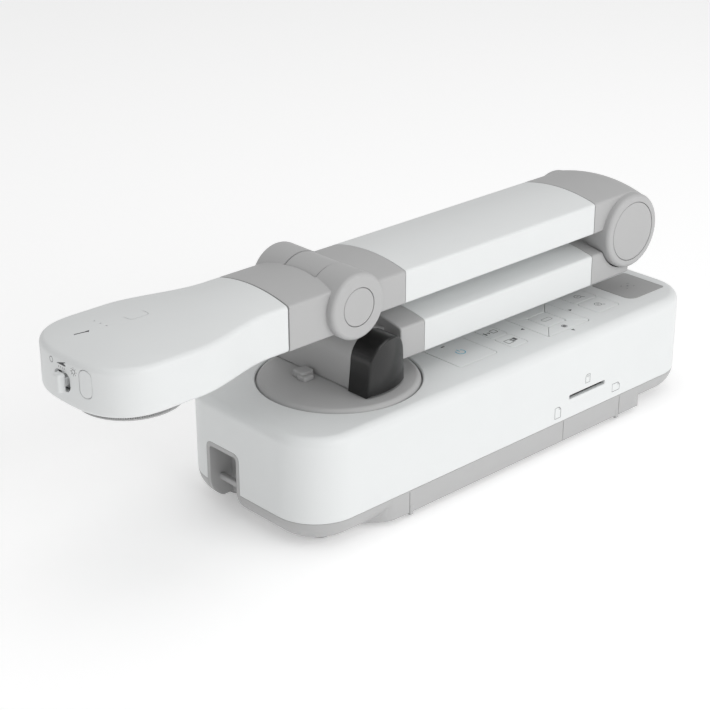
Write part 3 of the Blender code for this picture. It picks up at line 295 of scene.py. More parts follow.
def fill_between(made, rows, wrap=True):
    """Quads from each row of points to the next; wrap joins the end of a row to its start."""
    for first, second in zip(rows, rows[1:]):
        for i in range(len(first) if wrap else len(first) - 1):
            j = (i + 1) % len(first)
            made.faces.new((first[i], first[j], second[j], second[i]))


def loft(rings, closed=False):
    """A solid drawn through rings of points; closed joins the last ring to the first."""
    made = bmesh.new()
    rows = [[made.verts.new(point) for point in ring] for ring in rings]
    fill_between(made, rows + rows[:1] if closed else rows)
    if not closed:
        made.faces.new(rows[0][::-1])
        made.faces.new(rows[-1])
    bmesh.ops.recalc_face_normals(made, faces=made.faces)
    return made


def ease(radius, steps):
    """(inset, depth) pairs round a quarter circle, from the side to the end face."""
    return [(radius * (1 - cos(t)), radius * (1 - sin(t))) for t in quarter(steps)]


def pad(outline, plane, start, end, round_start=0.0, round_end=0.0, steps=4):
    """The outline drawn from start to end (start < end), its end edges rounded."""
    place = PLANES[plane]
    stations = []
    if round_start:
        stations += [(i, start + d) for i, d in reversed(ease(round_start, steps))]
    else:
        stations.append((0, start))
    if round_end:
        stations += [(i, end - d) for i, d in ease(round_end, steps)]
    else:
        stations.append((0, end))
    return loft([[place(u, v, along) for u, v in inset_outline(outline, inset)]
                 for inset, along in stations])


def lathe(profile, axis, centre, sides=96, closed=False):
    """A profile of (along, radius) turned about an axis through centre."""
    place = {"Z": lambda a, r, t: (centre[0] + r * cos(t), centre[1] + r * sin(t), a),
             "Y": lambda a, r, t: (centre[0] + r * cos(t), a, centre[1] + r * sin(t))}[axis]
    return loft([[place(along, radius, 2 * pi * k / sides) for k in range(sides)]
                 for along, radius in profile], closed)


def rim(face, radius, edge, steps):
    """The rounded rim of a turned profile, from its side to its face; edge < 0 faces down."""
    return [(face - edge * (1 - sin(t)), radius - abs(edge) * (1 - cos(t)))
            for t in quarter(steps)]


def block(low_corner, high_corner, radius=0.0, steps=3):
    (x0, y0, z0), (x1, y1, z1) = low_corner, high_corner
    return pad(rectangle(x0, x1, y0, y1, 1.2 * radius, steps), "XY", z0, z1, radius, radius, steps)


def less(tool):
    return "DIFFERENCE", tool


def plus(tool):
    return "UNION", tool


def mesh_object(name, made):
    mesh = bpy.data.meshes.new(name)
    bmesh.ops.remove_doubles(made, verts=made.verts, dist=1e-7)
    made.to_mesh(mesh)
    made.free()
    item = bpy.data.objects.new(name, mesh)
    bpy.context.scene.collection.objects.link(item)
    return item


def settle(item, helpers):
    """Replaces an object's mesh by what its modifiers make of it."""
    graph = bpy.context.evaluated_depsgraph_get()
    mesh = bpy.data.meshes.new_from_object(item.evaluated_get(graph))
    item.modifiers.clear()
    item.data = mesh
    for helper in helpers:
        bpy.data.objects.remove(helper, do_unlink=True)


def piece(name, made, look, nodes=(), body=None, steps=(), bevel=0.0, angle=35):
    """Makes one visible piece: a mesh, its Boolean steps, its finish and its body."""
    item = mesh_object(name, made)
    helpers = []
    for operation, tool in steps:
        helper = mesh_object(f"{name}_tool", tool)
        change = item.modifiers.new("step", "BOOLEAN")
        change.operation = operation
        change.object = helper
        helpers.append(helper)
    if helpers:
        settle(item, helpers)
    if bevel:
        change = item.modifiers.new("edges", "BEVEL")
        change.width = bevel
        change.segments = 2
        change.limit_method = "ANGLE"
        change.angle_limit = radians(50)
        change.use_clamp_overlap = True
        settle(item, [])
    item.data.materials.clear()
    item.data.materials.append(LOOKS[look] if look in LOOKS else look)
    item.data.shade_smooth()
    item.data.set_sharp_from_angle(angle=radians(angle))
    item.modifiers.new("normals", "WEIGHTED_NORMAL").keep_sharp = True
    if nodes:
        body = frame["nodes"][nodes[0]]["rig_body"]
        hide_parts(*nodes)
    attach(item, body)
    return item


def stand_for(node, made, steps=(), bevel=0.0, angle=35):
    return piece(f"{node}_shell", made, SLOT_OF[node], (node,), None, steps, bevel, angle)


# ---------------------------------------------------------------- base

BASE = (high("base_casing").x, high("base_casing").y)
BASE_TOP = high("base_casing").z
SPLIT = (low("base_casing").z + high("base_tray").z) / 2


def base_inset(z):
    """How far the base's wall curves in at height z."""
    rise = BASE_TOP - BASE_UPPER_ROUND
    if z < BASE_LOWER_ROUND:
        return BASE_LOWER_ROUND - sqrt(BASE_LOWER_ROUND**2 - (BASE_LOWER_ROUND - z)**2)
    if z > rise:
        return BASE_UPPER_ROUND - sqrt(max(BASE_UPPER_ROUND**2 - (z - rise)**2, 0))
    return 0.0


def base_block(bottom, top, wall=0.0, roof=0.0):
    """The base's outer form between two heights, or the hollow a wall inside it."""
    steps = 14
    turns = quarter(steps)
    rise, end = BASE_TOP - BASE_UPPER_ROUND, top - roof
    levels = [BASE_LOWER_ROUND * (1 - cos(t)) for t in turns]
    levels += [rise + BASE_UPPER_ROUND * sin(t) for t in turns[::2]]
    levels = [bottom] + [z for z in levels if bottom + 1e-5 < z < end - 1e-5] + [end]
    rings = []
    for z in levels:
        inset = base_inset(z) + wall
        outline = rectangle(-BASE[0] + inset, BASE[0] - inset, -BASE[1] + inset,
                            BASE[1] - inset, max(BASE_CORNER - inset, 0.0005), steps)
        rings.append([(x, y, z) for x, y in outline])
    return loft(rings)


KEYS = ["power_button", "source_button", "split_screen_button", "zoom_out_button",
        "zoom_in_button", "focus_button"]
PAD_KEYS = ["pad_front_key", "pad_right_key", "pad_rear_key", "pad_left_key"]
KEY_CORNER = 0.0016
KEY_LINE = 0.00022
KEY_PROUD = 0.00012
WELL_GAP = 0.0006  # round the turntable
WELL_EDGE = 0.0005
PANEL_CORNER = 0.001  # of the rear panel
CARD_MARGIN = 0.0015
CARD_SLOT = 0.0021


def key_outline(node, grow=0.0):
    """A key's plan; the focus key has one larger corner."""
    lo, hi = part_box(node)
    corner = KEY_CORNER + grow
    first = 3 * KEY_CORNER + grow if node == "focus_button" else corner
    return rounded([(lo.x - grow, lo.y - grow, first), (hi.x + grow, lo.y - grow, corner),
                    (hi.x + grow, hi.y + grow, corner), (lo.x - grow, hi.y + grow, corner)], 6)


def pad_ends():
    """The low and the high corner of the four-way pad."""
    return ((low("pad_left_key").x, low("pad_front_key").y),
            (high("pad_right_key").x, high("pad_rear_key").y))


def pad_outline(grow=0.0):
    (x0, y0), (x1, y1) = pad_ends()
    return rectangle(x0 - grow, x1 + grow, y0 - grow, y1 + grow, KEY_CORNER + grow, 6)


def make_casing():
    roof = (BASE_TOP - 2 * CASING_ROOF, BASE_TOP + CUT)
    table = middle("turntable")
    radius = half_width("turntable") + WELL_GAP
    well = lathe([(roof[0], radius), (BASE_TOP - WELL_EDGE, radius),
                  (BASE_TOP, radius + WELL_EDGE), (roof[1], radius + WELL_EDGE)], "Z",
                 (table.x, table.y), 128)
    panel_lo, panel_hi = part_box("port_panel")
    window = rectangle(panel_lo.x - SEAM, panel_hi.x + SEAM, panel_lo.z - SEAM,
                       panel_hi.z + SEAM, PANEL_CORNER, 4)
    end = low("base_casing").x
    cutters = [base_block(SPLIT - CUT, BASE_TOP, CASING_WALL, CASING_ROOF), well]
    cutters += [pad(key_outline(node, KEY_LINE), "XY", *roof) for node in KEYS]
    cutters += [pad(pad_outline(KEY_LINE), "XY", *roof), card_mouth(),
                notch_solid(SEAM, end - CUT, end + CASING_WALL * 2),
                pad(window, "XZ", panel_lo.y - 0.003, BASE[1] + CUT)]
    stand_for("base_casing", base_block(SPLIT + SEAM / 2, BASE_TOP),
              [less(cutter) for cutter in cutters])


def card_mouth():
    """The card slot with its bevelled mouth, as a cutter."""
    mid = middle("card_socket")
    half_x, half_z = half_width("card_socket") - CARD_MARGIN, CARD_SLOT / 2
    rings = []
    for depth, grow in ((-0.0002, 0.0004), (0.0002, 0.0), (0.004, 0.0)):
        outline = rectangle(mid.x - half_x - grow, mid.x + half_x + grow,
                            mid.z - half_z - grow, mid.z + half_z + grow, 0.0003 + grow, 4)
        rings.append([(x, depth - BASE[1], z) for x, z in outline])
    return loft(rings)


SKIRT = (-0.101, -0.082, 0.0895)  # where the skirt's lead-in starts and ends, and its far end
SKIRT_DEPTH = 0.009
RIBS = (-0.072, 0.0305, 0.073)
RIB_WIDTH = 0.0022
RIB_LINE = 0.00014  # half of the groove beside a rib
TRAY_FLOOR = 0.0022


def make_tray():
    top = SPLIT - SEAM / 2
    face = -BASE[1]
    start, full, end = SKIRT
    back = face + SKIRT_DEPTH + 0.001
    plan = [(start + (full - start) * k / 12,
             face + SKIRT_DEPTH / 2 * (1 + cos(pi * k / 12))) for k in range(13)]
    plan += [(end, face), (end, back), (start, back)]
    steps = [plus(pad(plan, "XY", 0.0003, top))]
    for x in (RIBS[0], RIBS[2]):
        steps.append(plus(block((x - RIB_WIDTH / 2, face - 0.00015, low("base_tray").z),
                                (x + RIB_WIDTH / 2, face + 0.006, 0.004), 0.0003, 2)))
    for x, side in zip(RIBS, (-1, 1, 1)):
        line = x + side * (RIB_WIDTH / 2 + 0.0001)
        steps.append(less(block((line - RIB_LINE, face - CUT, -CUT),
                                (line + RIB_LINE, face + 0.0005, top - 0.0006))))
    steps.append(less(base_block(TRAY_FLOOR, top + CUT, CASING_WALL)))
    steps.append(less(notch_solid(SEAM, low("base_casing").x - CUT,
                                  high("cable_notch").x + SEAM)))
    stand_for("base_tray", base_block(0.0, top), steps)


def make_feet():
    for node in ("foot_front_left", "foot_front_right", "foot_rear_left", "foot_rear_right"):
        lo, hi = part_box(node)
        mid, radius = middle(node), half_width(node)
        profile = [(lo.z + 0.0003, 0.0002), (lo.z + 0.0003, radius * 0.62),
                   (lo.z, radius * 0.70), (lo.z, radius * 0.84)]
        profile += [(lo.z + 0.001 * (1 - cos(t)), radius * (0.84 + 0.16 * sin(t)))
                    for t in quarter(6)[1:]]
        profile += [(hi.z + 0.0006, radius), (hi.z + 0.0006, 0.0002)]
        stand_for(node, lathe(profile, "Z", (mid.x, mid.y), 64))


NOTCH_WALL = 0.0021


def notch_solid(grow, start, end, inner=False, bottom=-CUT):
    """The cable notch's outside, or its opening where inner."""
    lo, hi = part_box("cable_notch")
    wall, corner = (NOTCH_WALL, 0.0016) if inner else (0.0, 0.0035)
    half = (hi.y - lo.y) / 2 - wall + grow
    mid, top = (lo.y + hi.y) / 2, hi.z - wall + grow
    outline = rounded([(mid - half, bottom, 0), (mid + half, bottom, 0),
                       (mid + half, top, corner), (mid - half, top, corner)], 8)
    return pad(outline, "YZ", start, end)


def make_notch():
    lo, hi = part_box("cable_notch")
    bar = block((lo.x + 0.005, lo.y + 0.001, 0.0100), (lo.x + 0.008, hi.y - 0.001, 0.0130),
                0.0009, 4)
    steps = [("INTERSECT", base_block(0.0, BASE_TOP, 0.00002)),
             less(notch_solid(0, lo.x - CUT, hi.x - NOTCH_WALL, True)), plus(bar)]
    stand_for("cable_notch", notch_solid(0, lo.x - 0.0001, hi.x, False, 0.0012), steps, 0.00025)


def make_ports():
    """The rear panel with its inlet, video and device sockets."""
    lo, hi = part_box("port_panel")
    inlet_lo, inlet_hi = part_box("power_inlet")
    inlet = middle("power_inlet")
    holes = [lathe([(lo.y - CUT, 0.0046), (hi.y - 0.0005, 0.0046), (hi.y + CUT, 0.0071)],
                   "Y", (inlet.x, inlet.z), 48)]
    for node in ("video_port", "usb_port"):
        a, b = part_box(node)
        mouth = rectangle(a.x + 0.001, b.x - 0.001, a.z + 0.001, b.z - 0.001, 0.0012, 4)
        holes.append(pad(mouth, "XZ", lo.y - CUT, hi.y + CUT))
    outline = rectangle(lo.x, hi.x, lo.z, hi.z, PANEL_CORNER, 4)
    stand_for("port_panel", pad(outline, "XZ", lo.y, hi.y, 0, 0.0003, 2),
              [less(hole) for hole in holes])
    back, face = inlet_lo.y, inlet_hi.y
    barrel = lathe([(back, 0.0045), (face - 0.0003, 0.0045), (face, 0.0042), (face, 0.0034),
                    (face - 0.0003, 0.0031), (back + 0.003, 0.0031), (back + 0.003, 0.0008),
                    (face - 0.0022, 0.0008), (face - 0.0018, 0.0003), (face - 0.0018, 0.00001)],
                   "Y", (inlet.x, inlet.z), 48)
    stand_for("power_inlet", barrel)
    make_shell_socket("video_port", 0.0016, 0.62, 3, 5)
    make_shell_socket("usb_port", 0.0, 0.45, 2, 2)


def make_shell_socket(node, slope, core_height, rows, columns):
    """A folded metal socket shell with a contact block inside."""
    lo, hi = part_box(node)
    mid = (lo + hi) / 2
    half_x, half_z = (hi.x - lo.x) / 2 - 0.0012, (hi.z - lo.z) / 2 - 0.0012
    outer = rounded([(mid.x - half_x + slope, mid.z - half_z, 0.0014),
                     (mid.x + half_x - slope, mid.z - half_z, 0.0014),
                     (mid.x + half_x, mid.z + half_z, 0.0014),
                     (mid.x - half_x, mid.z + half_z, 0.0014)], 5)
    inner = inset_outline(outer, 0.0006)
    stand_for(node, pad(outer, "XZ", lo.y, hi.y, 0, 0.0002, 2),
              [less(pad(inner, "XZ", lo.y + 0.002, hi.y + CUT))])
    core_x, core_z = half_x * 0.72, half_z * core_height
    core = rectangle(mid.x - core_x, mid.x + core_x, mid.z - core_z, mid.z + core_z, 0.0006, 3)
    pins = []
    for row in range(rows):
        for k in range(columns):
            x = mid.x + core_x * (0.72 * (k / (columns - 1) * 2 - 1))
            z = mid.z + core_z * 0.62 * (row / (rows - 1) * 2 - 1)
            pins.append(less(lathe([(hi.y - 0.003, 0.0004), (hi.y, 0.0004)], "Y", (x, z), 12)))
    piece(f"{node}_contacts", pad(core, "XZ", lo.y + 0.003, hi.y - 0.0012, 0, 0.0003, 2),
          "black_plastic", (), "base", pins)


def key_solid(outline, node):
    """A key cap, a hair proud of the casing, with a soft edge."""
    return pad(outline, "XY", low(node).z, BASE_TOP + KEY_PROUD, 0, 0.00035, 4)


def make_keys():
    for node in KEYS:
        stand_for(node, key_solid(key_outline(node), node))
    (x0, y0), (x1, y1) = pad_ends()
    outer = [(x0, y0), (x1, y0), (x1, y1), (x0, y1)]
    lo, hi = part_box("enter_button")
    x0, y0, x1, y1 = lo.x - KEY_LINE, lo.y - KEY_LINE, hi.x + KEY_LINE, hi.y + KEY_LINE
    inner = [(x0, y0), (x1, y0), (x1, y1), (x0, y1)]
    for k, node in enumerate(PAD_KEYS):
        a, b = Vector(outer[k]), Vector(outer[(k + 1) % 4])
        c, d = Vector(inner[(k + 1) % 4]), Vector(inner[k])
        along = (b - a).normalized() * (KEY_LINE / 2)
        corners = [(*(a + along), 0.0006), (*(b - along), 0.0006),
                   (*(c - along), 0.0003), (*(d + along), 0.0003)]
        stand_for(node, key_solid(rounded(corners, 4), node))
    stand_for("enter_button", key_solid(key_outline("enter_button"), "enter_button"))


# ---------------------------------------------------------------- turntable and shoulder


TABLE_RIM = 0.0028


def make_turntable():
    mid, top, radius = middle("turntable"), high("turntable").z, half_width("turntable")
    base = low("turntable_bearing").z + 0.0028
    profile = [(base, 0.0001), (base, radius)] + rim(top, radius, TABLE_RIM, 10)
    profile += [(top, radius - TABLE_RIM - 0.0003), (top, 0.012), (top, 0.0001)]
    lo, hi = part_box("turn_lock_button")
    tall = ((lo.x + 0.0010, lo.y + 0.0026), (hi.x, hi.y), hi.z)
    short = ((lo.x, lo.y), (hi.x - 0.0020, hi.y - 0.0040), hi.z - 0.0011)
    holes, blocks = [], []
    for (x0, y0), (x1, y1), height in (tall, short):
        outline = rectangle(x0, x1, y0, y1, 0.0012, 4)
        hole = inset_outline(outline, -2 * SEAM)
        holes.append(less(pad(hole, "XY", base - CUT, top + CUT)))
        blocks.append(pad(outline, "XY", lo.z, height, 0, 0.0009, 4))
    stand_for("turntable", lathe(profile, "Z", (mid.x, mid.y), 160), holes)
    stand_for("turn_lock_button", blocks[0], [plus(blocks[1])], 0.0002)


SHOULDER = JOINTS["shoulder_raise"]["pos_m"]
SHOULDER_SLOT = (-0.0129, 0.0161)
SHOULDER_SETBACK = 0.0035
CAP_FLARE = 0.13  # how much wider the black cap is at its foot
CAP_EDGE = 0.0010


def make_shoulder():
    lo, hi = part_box("shoulder_housing")
    x, z = SHOULDER[0], SHOULDER[2]
    front, rear = SHOULDER_SLOT
    knuckle = x - lo.x - 0.0022
    floor = low("lower_arm_root").z + 0.0039
    steps = [less(lathe([(front, knuckle), (rear, knuckle)], "Y", (x, z), 64)),
             less(block((lo.x + SHOULDER_SETBACK, front, z), (hi.x + CUT, rear, hi.z + CUT))),
             less(block((x, front, floor), (hi.x + CUT, rear, z + CUT)))]
    shape = arch(x, z, half_width("shoulder_housing"), lo.z)
    stand_for("shoulder_housing", pad(shape, "XZ", lo.y, hi.y), steps, 0.0002)
    make_front_cap([(x + (u - x) * (1 + CAP_FLARE * max(z - v, 0) / (z - lo.z)), v)
                    for u, v in shape])
    lo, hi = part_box("shoulder_rear_cap")
    stand_for("shoulder_rear_cap", pad(shape, "XZ", lo.y - SEAM, hi.y, 0, 0.0012, 6))


def make_front_cap(shape):
    """The black cap: its front is a face turned about the turntable's axis."""
    lo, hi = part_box("shoulder_front_cap")
    centre = JOINTS["turntable_turn"]["pos_m"][0]
    reach = sqrt(lo.y**2 + (lo.x - centre)**2)

    def face(x):
        return -sqrt(reach**2 - (x - centre)**2)

    rings = [[(x, hi.y + SEAM, z) for x, z in shape]]
    for inset, depth in ease(CAP_EDGE, 6):
        rings.append([(x, face(x) + depth, z) for x, z in inset_outline(shape, inset)])
    made = bmesh.new()
    rows = [[made.verts.new(point) for point in ring] for ring in rings]
    fill_between(made, rows)
    made.faces.new(rows[0][::-1])
    last, across, strips = rows[-1], 14, []
    for k in range(len(last) // 2):
        right, left = last[k], last[-1 - k]
        strip = [right]
        for m in range(1, across):
            x = right.co.x + (left.co.x - right.co.x) * m / across
            strip.append(made.verts.new((x, face(x), right.co.z)))
        strips.append(strip + [left])
    fill_between(made, strips, False)
    apex = last[len(last) // 2]
    for a, b in zip(strips[-1], strips[-1][1:]):
        made.faces.new((a, b, apex))
    bmesh.ops.recalc_face_normals(made, faces=made.faces)
    stand_for("shoulder_front_cap", made, (), 0.0, 60)


# ---------------------------------------------------------------- arms


FIT = 0.0003  # between a sleeve and its fittings
SLEEVE_WALL = 0.0019
PLATE_INSET = 0.0028
PLATE_THICK = 0.0015
ELBOW = JOINTS["elbow_unfold"]["pos_m"]
TILT = JOINTS["head_tilt"]["pos_m"]
ELBOW_AXIS = (ELBOW[0], ELBOW[2])
TILT_AXIS = (TILT[0], TILT[2])
ELBOW_TONGUE = 0.0136  # half of the width between the outer barrels
TILT_TONGUE = 0.0102
ELBOW_SIDE_GAP = 0.0003
TILT_SIDE_GAP = 0.0005
ELBOW_SWEEP = 0.0197  # the radius kept clear for the outer barrels
ELBOW_ROOM = 0.0192  # the radius kept clear for the tongue
TILT_ROOM = 0.0160


def arm_section(name):
    """An arm's outline, its half width, the height of its bottom and of its sides' top."""
    cover, bottom = high(f"{name}_upper_cover"), low(f"{name}_lower_cover").z
    side_top = cover.z - CROWN
    return crowned(cover.y, bottom, side_top), cover.y, bottom, side_top


def make_arm(name):
    """The white sleeve between two grey fittings: its top and sides, and the plate below."""
    outline, half, bottom, side_top = arm_section(name)
    upper = f"{name}_upper_cover"
    start, end = low(upper).x - FIT + SEAM, high(upper).x + FIT - SEAM
    plate, plate_top = half - PLATE_INSET, bottom + PLATE_THICK
    recess = rectangle(-plate - 2 * SEAM, plate + 2 * SEAM, bottom - CUT, plate_top)
    inner = crowned(half - SLEEVE_WALL, bottom + SLEEVE_WALL, side_top - SLEEVE_WALL, 0.0005)
    stand_for(upper, pad(outline, "YZ", start, end, 0.00025, 0.00025, 2),
              [less(pad(shape, "YZ", start - CUT, end + CUT)) for shape in (inner, recess)])
    stand_for(f"{name}_lower_cover",
              pad(rectangle(-plate, plate, bottom, plate_top, 0.0003, 3), "YZ", start, end))


def tongue(axis, knuckle, half, inner, sweep):
    """Steps that leave a round tongue at an arm's end, clear of the barrels beside it."""
    steps = [plus(lathe([(-half - 0.001, knuckle), (half + 0.001, knuckle)], "Y", axis, 96))]
    for side in (-1, 1):
        ends = sorted((side * inner, side * (half + 2 * CUT)))
        steps.append(less(lathe([(ends[0], sweep), (ends[1], sweep)], "Y", axis, 128)))
    return steps


def barrels(node, axis, inner, room, cap, edge=0.0020, recess=0.0009):
    """Steps that add a hinge's two barrels, with room for a tongue and for the trim discs."""
    outer, radius = high(node).y, high(node).x - axis[0]
    half = rim(outer, radius, edge, 6)
    steps = [plus(lathe([(-a, r) for a, r in reversed(half)] + half, "Y", axis, 128)),
             less(lathe([(-inner, room), (inner, room)], "Y", axis, 128))]
    wide = half_width(cap) + 2 * SEAM
    for side in (-1, 1):
        ends = [(side * (outer - recess), wide), (side * (outer + CUT), wide)][::side]
        steps.append(less(lathe(ends, "Y", axis, 128)))
    return steps


def make_cap(node, axis, outward):
    """A flush trim disc with a softened rim and a faintly dished face."""
    lo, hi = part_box(node)
    radius, face = half_width(node), lo.y if outward < 0 else hi.y
    profile = [(face - outward * depth, wide) for depth, wide in (
        (0.0008, 0.0001), (0.0008, radius), (0.0003, radius), (0.0001, radius - 0.0001),
        (0, radius - 0.0003), (0, radius * 0.86), (0.00008, radius * 0.8), (0.00008, 0.0001))]
    stand_for(node, lathe(profile, "Y", axis, 128), (), 0.0, 30)


def make_lower_arm():
    outline, bottom = arm_section("lower_arm")[::2]
    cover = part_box("lower_arm_upper_cover")
    start, end = cover[0].x - FIT, cover[1].x + FIT
    make_arm("lower_arm")
    x, z = SHOULDER[0], SHOULDER[2]
    front, rear = SHOULDER_SLOT[0] + FIT, SHOULDER_SLOT[1] - FIT
    knuckle = x - low("lower_arm_root").x
    root_start = x + 0.0124
    steps = [plus(block((x, front, bottom), (root_start + CUT, rear, z + 0.0080), 0.0004, 2)),
             plus(lathe([(front, knuckle), (rear, knuckle)], "Y", (x, z), 64))]
    stand_for("lower_arm_root",
              pad(outline, "YZ", root_start, start - SEAM, 0.0008, 0.0002, 3), steps)
    node = "lower_arm_elbow_end"
    steps = tongue(ELBOW_AXIS, high(node).x - ELBOW[0], high(node).y, ELBOW_TONGUE,
                   ELBOW_SWEEP)
    stand_for(node, pad(outline, "YZ", end + SEAM, ELBOW[0] + 0.0033, 0.0002, 0.0008, 3), steps)


def make_upper_arm():
    outline, half, bottom, side_top = arm_section("upper_arm")
    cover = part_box("upper_arm_upper_cover")
    start, end = cover[0].x - FIT, cover[1].x + FIT
    make_arm("upper_arm")
    root = ELBOW[2] + 0.012
    rings = []
    for x, floor in ((end + SEAM, bottom), (ELBOW[0] - 0.008, bottom), (ELBOW[0], root)):
        rings.append([(x, y, z) for y, z in crowned(half, floor, side_top)])
    for k in range(1, 13):
        turn = ELBOW_HOOD * k / 12
        ring = []
        for y, z in crowned(half, root, side_top):
            reach = z - ELBOW[2]
            ring.append((ELBOW[0] + reach * sin(turn), y, ELBOW[2] + reach * cos(turn)))
        rings.append(ring)
    node = "upper_arm_elbow_end"
    stand_for(node, loft(rings), barrels(node, ELBOW_AXIS, ELBOW_TONGUE + ELBOW_SIDE_GAP,
                                         ELBOW_ROOM, "elbow_front_cap"))
    make_cap("elbow_front_cap", ELBOW_AXIS, -1)
    make_cap("elbow_rear_cap", ELBOW_AXIS, 1)
    node = "upper_arm_head_end"
    steps = tongue(TILT_AXIS, TILT[0] - low(node).x, half, TILT_TONGUE, TILT_ROOM)
    stand_for(node, pad(outline, "YZ", TILT[0], start - SEAM, 0, 0.0002, 2), steps)


# ---------------------------------------------------------------- neck and head


def make_neck():
    outline = crowned(HEAD_HALF_NECK, low("head_shell").z, high("head_shell").z - CROWN)
    steps = barrels("neck", TILT_AXIS, TILT_TONGUE + TILT_SIDE_GAP, TILT_ROOM, "tilt_front_cap")
    stand_for("neck", pad(outline, "YZ", low("neck").x - 0.0001, TILT[0], 0.0003, 0, 2), steps)
    make_cap("tilt_front_cap", TILT_AXIS, -1)
    make_cap("tilt_rear_cap", TILT_AXIS, 1)


def head_half_width(x):
    start, end = HEAD_FLARE
    t = min(max((start - x) / (start - end), 0.0), 1.0)
    return HEAD_HALF_NECK + (HEAD_WIDE - HEAD_HALF_NECK) * t * t * (3 - 2 * t)


HEAD_TIP = low("head_shell").x
HEAD_WIDE = high("head_shell").y
HEAD_END = HEAD_TIP + HEAD_END_LENGTH
HEAD_START = high("head_shell").x
HEAD_BOTTOM = low("head_shell").z
HEAD_SIDE_TOP = high("head_shell").z - CROWN
HEAD_WALL = 0.0020
HEAD_LOW_EDGE = 0.0018
ENGRAVED = 0.00022


def head_rim(inset=0.0, start=HEAD_START):
    """Half of the head's plan, from the neck to the tip, and the midline point of each."""
    side, tip = 40, 30
    points = []
    for k in range(side + 1):
        x = start + (HEAD_END - start) * k / side
        points.append(((x, head_half_width(x) - inset), (x, 0.0)))
    for turn in quarter(tip)[1:]:
        x = HEAD_END - (HEAD_END_LENGTH - inset) * sin(turn) ** (2 / HEAD_END_POWER)
        y = (HEAD_WIDE - inset) * max(cos(turn), 0.0) ** (2 / HEAD_END_POWER)
        points.append(((x, y), (HEAD_END, 0.0)))
    return points


def head_plan(inset):
    """The head's outline, moved in by inset all round."""
    half = [point for point, _ in head_rim(inset, HEAD_START - inset)]
    return half + [(x, -y) for x, y in half[-2::-1]]


def head_edge(x):
    """The rounding of the head's top edge, soft at the tip and crisp at the neck."""
    t = min(max((HEAD_START - x) / 0.060, 0.0), 1.0)
    return TOP_EDGE + 0.0009 * t * t * (3 - 2 * t)


def head_column(edge_point, mid):
    """Points up the head's side, round its top edge and across its crown to the midline."""
    outer, mid = Vector(edge_point), Vector(mid)
    span = (mid - outer).length
    inward = (mid - outer).normalized()
    edge = head_edge(outer.x)
    column = []
    for t in quarter(3):
        spot = outer + inward * HEAD_LOW_EDGE * (1 - sin(t))
        column.append((*spot, HEAD_BOTTOM + HEAD_LOW_EDGE * (1 - cos(t))))
    for t in quarter(6):
        inset = edge * (1 - cos(t))
        height = HEAD_SIDE_TOP + CROWN * (1 - (1 - inset / span)**2) - edge * (1 - sin(t))
        column.append((*(outer + inward * inset), height))
    across = 9
    for k in range(1, across + 1):
        share = (1 - edge / span) * (1 - k / across)
        spot = mid + (outer - mid) * share
        column.append((*spot, HEAD_SIDE_TOP + CROWN * (1 - share**2)))
    return column


def make_head():
    half = head_rim()
    full = half + [((x, -y), mid) for (x, y), mid in half[-2::-1]]
    made = bmesh.new()
    grid = [[made.verts.new(point) for point in head_column(*pair)] for pair in full]
    for first, second in zip(grid, grid[1:]):
        for k in range(len(first) - 1):
            made.faces.new((first[k], second[k], second[k + 1], first[k + 1]))
    made.faces.new([column[0] for column in grid])
    made.faces.new(grid[0] + grid[-1][::-1][1:])
    bmesh.ops.remove_doubles(made, verts=made.verts, dist=1e-6)
    bmesh.ops.recalc_face_normals(made, faces=made.faces)
    inside = pad(head_plan(HEAD_WALL), "XY", HEAD_BOTTOM - CUT, HEAD_SIDE_TOP - 0.0035)
    stand_for("head_shell", made, [less(cutter) for cutter in [inside] + head_marks()])
    floor_top = high("head_floor").z
    holes = []
    for node in ("lens_barrel", "light_window"):
        at, radius = middle(node), half_width(node) + SEAM
        holes.append(less(lathe([(HEAD_BOTTOM - CUT, radius), (floor_top + CUT, radius)], "Z",
                                (at.x, at.y), 64)))
    stand_for("head_floor", pad(head_plan(HEAD_WALL + 0.0002), "XY", HEAD_BOTTOM + 0.0002,
                                floor_top, 0.0003, 0, 2), holes)


def tip_x(y):
    """The head's end face at a given Y."""
    share = min(abs(y) / HEAD_WIDE, 1.0)
    return HEAD_END - HEAD_END_LENGTH * (1 - share**HEAD_END_POWER) ** (1 / HEAD_END_POWER)


def groove(outline, plane, start, end):
    """A closed engraved line, as a cutter."""
    place = PLANES[plane]
    inner = inset_outline(outline, ENGRAVED)
    return loft([[place(u, v, start) for u, v in outline], [place(u, v, end) for u, v in outline],
                 [place(u, v, end) for u, v in inner], [place(u, v, start) for u, v in inner]],
                closed=True)


SLIDER = middle("light_slider")
SLIDER_SLOT = (-0.0053, 0.0055)  # the ends of its slot in Y
SLIDER_SLOT_HALF = 0.0042
PILLS = (-0.0142, 0.0215)  # the engraved outlines beside it, in Y
PILL_SIZE = (0.0066, 0.0124)
PILL_RISE = 0.0131
MICROPHONES = ((-0.194, 0.0155), (-0.194, 0.0110), (-0.194, 0.0068))
MICROPHONE_RADIUS = 0.00042


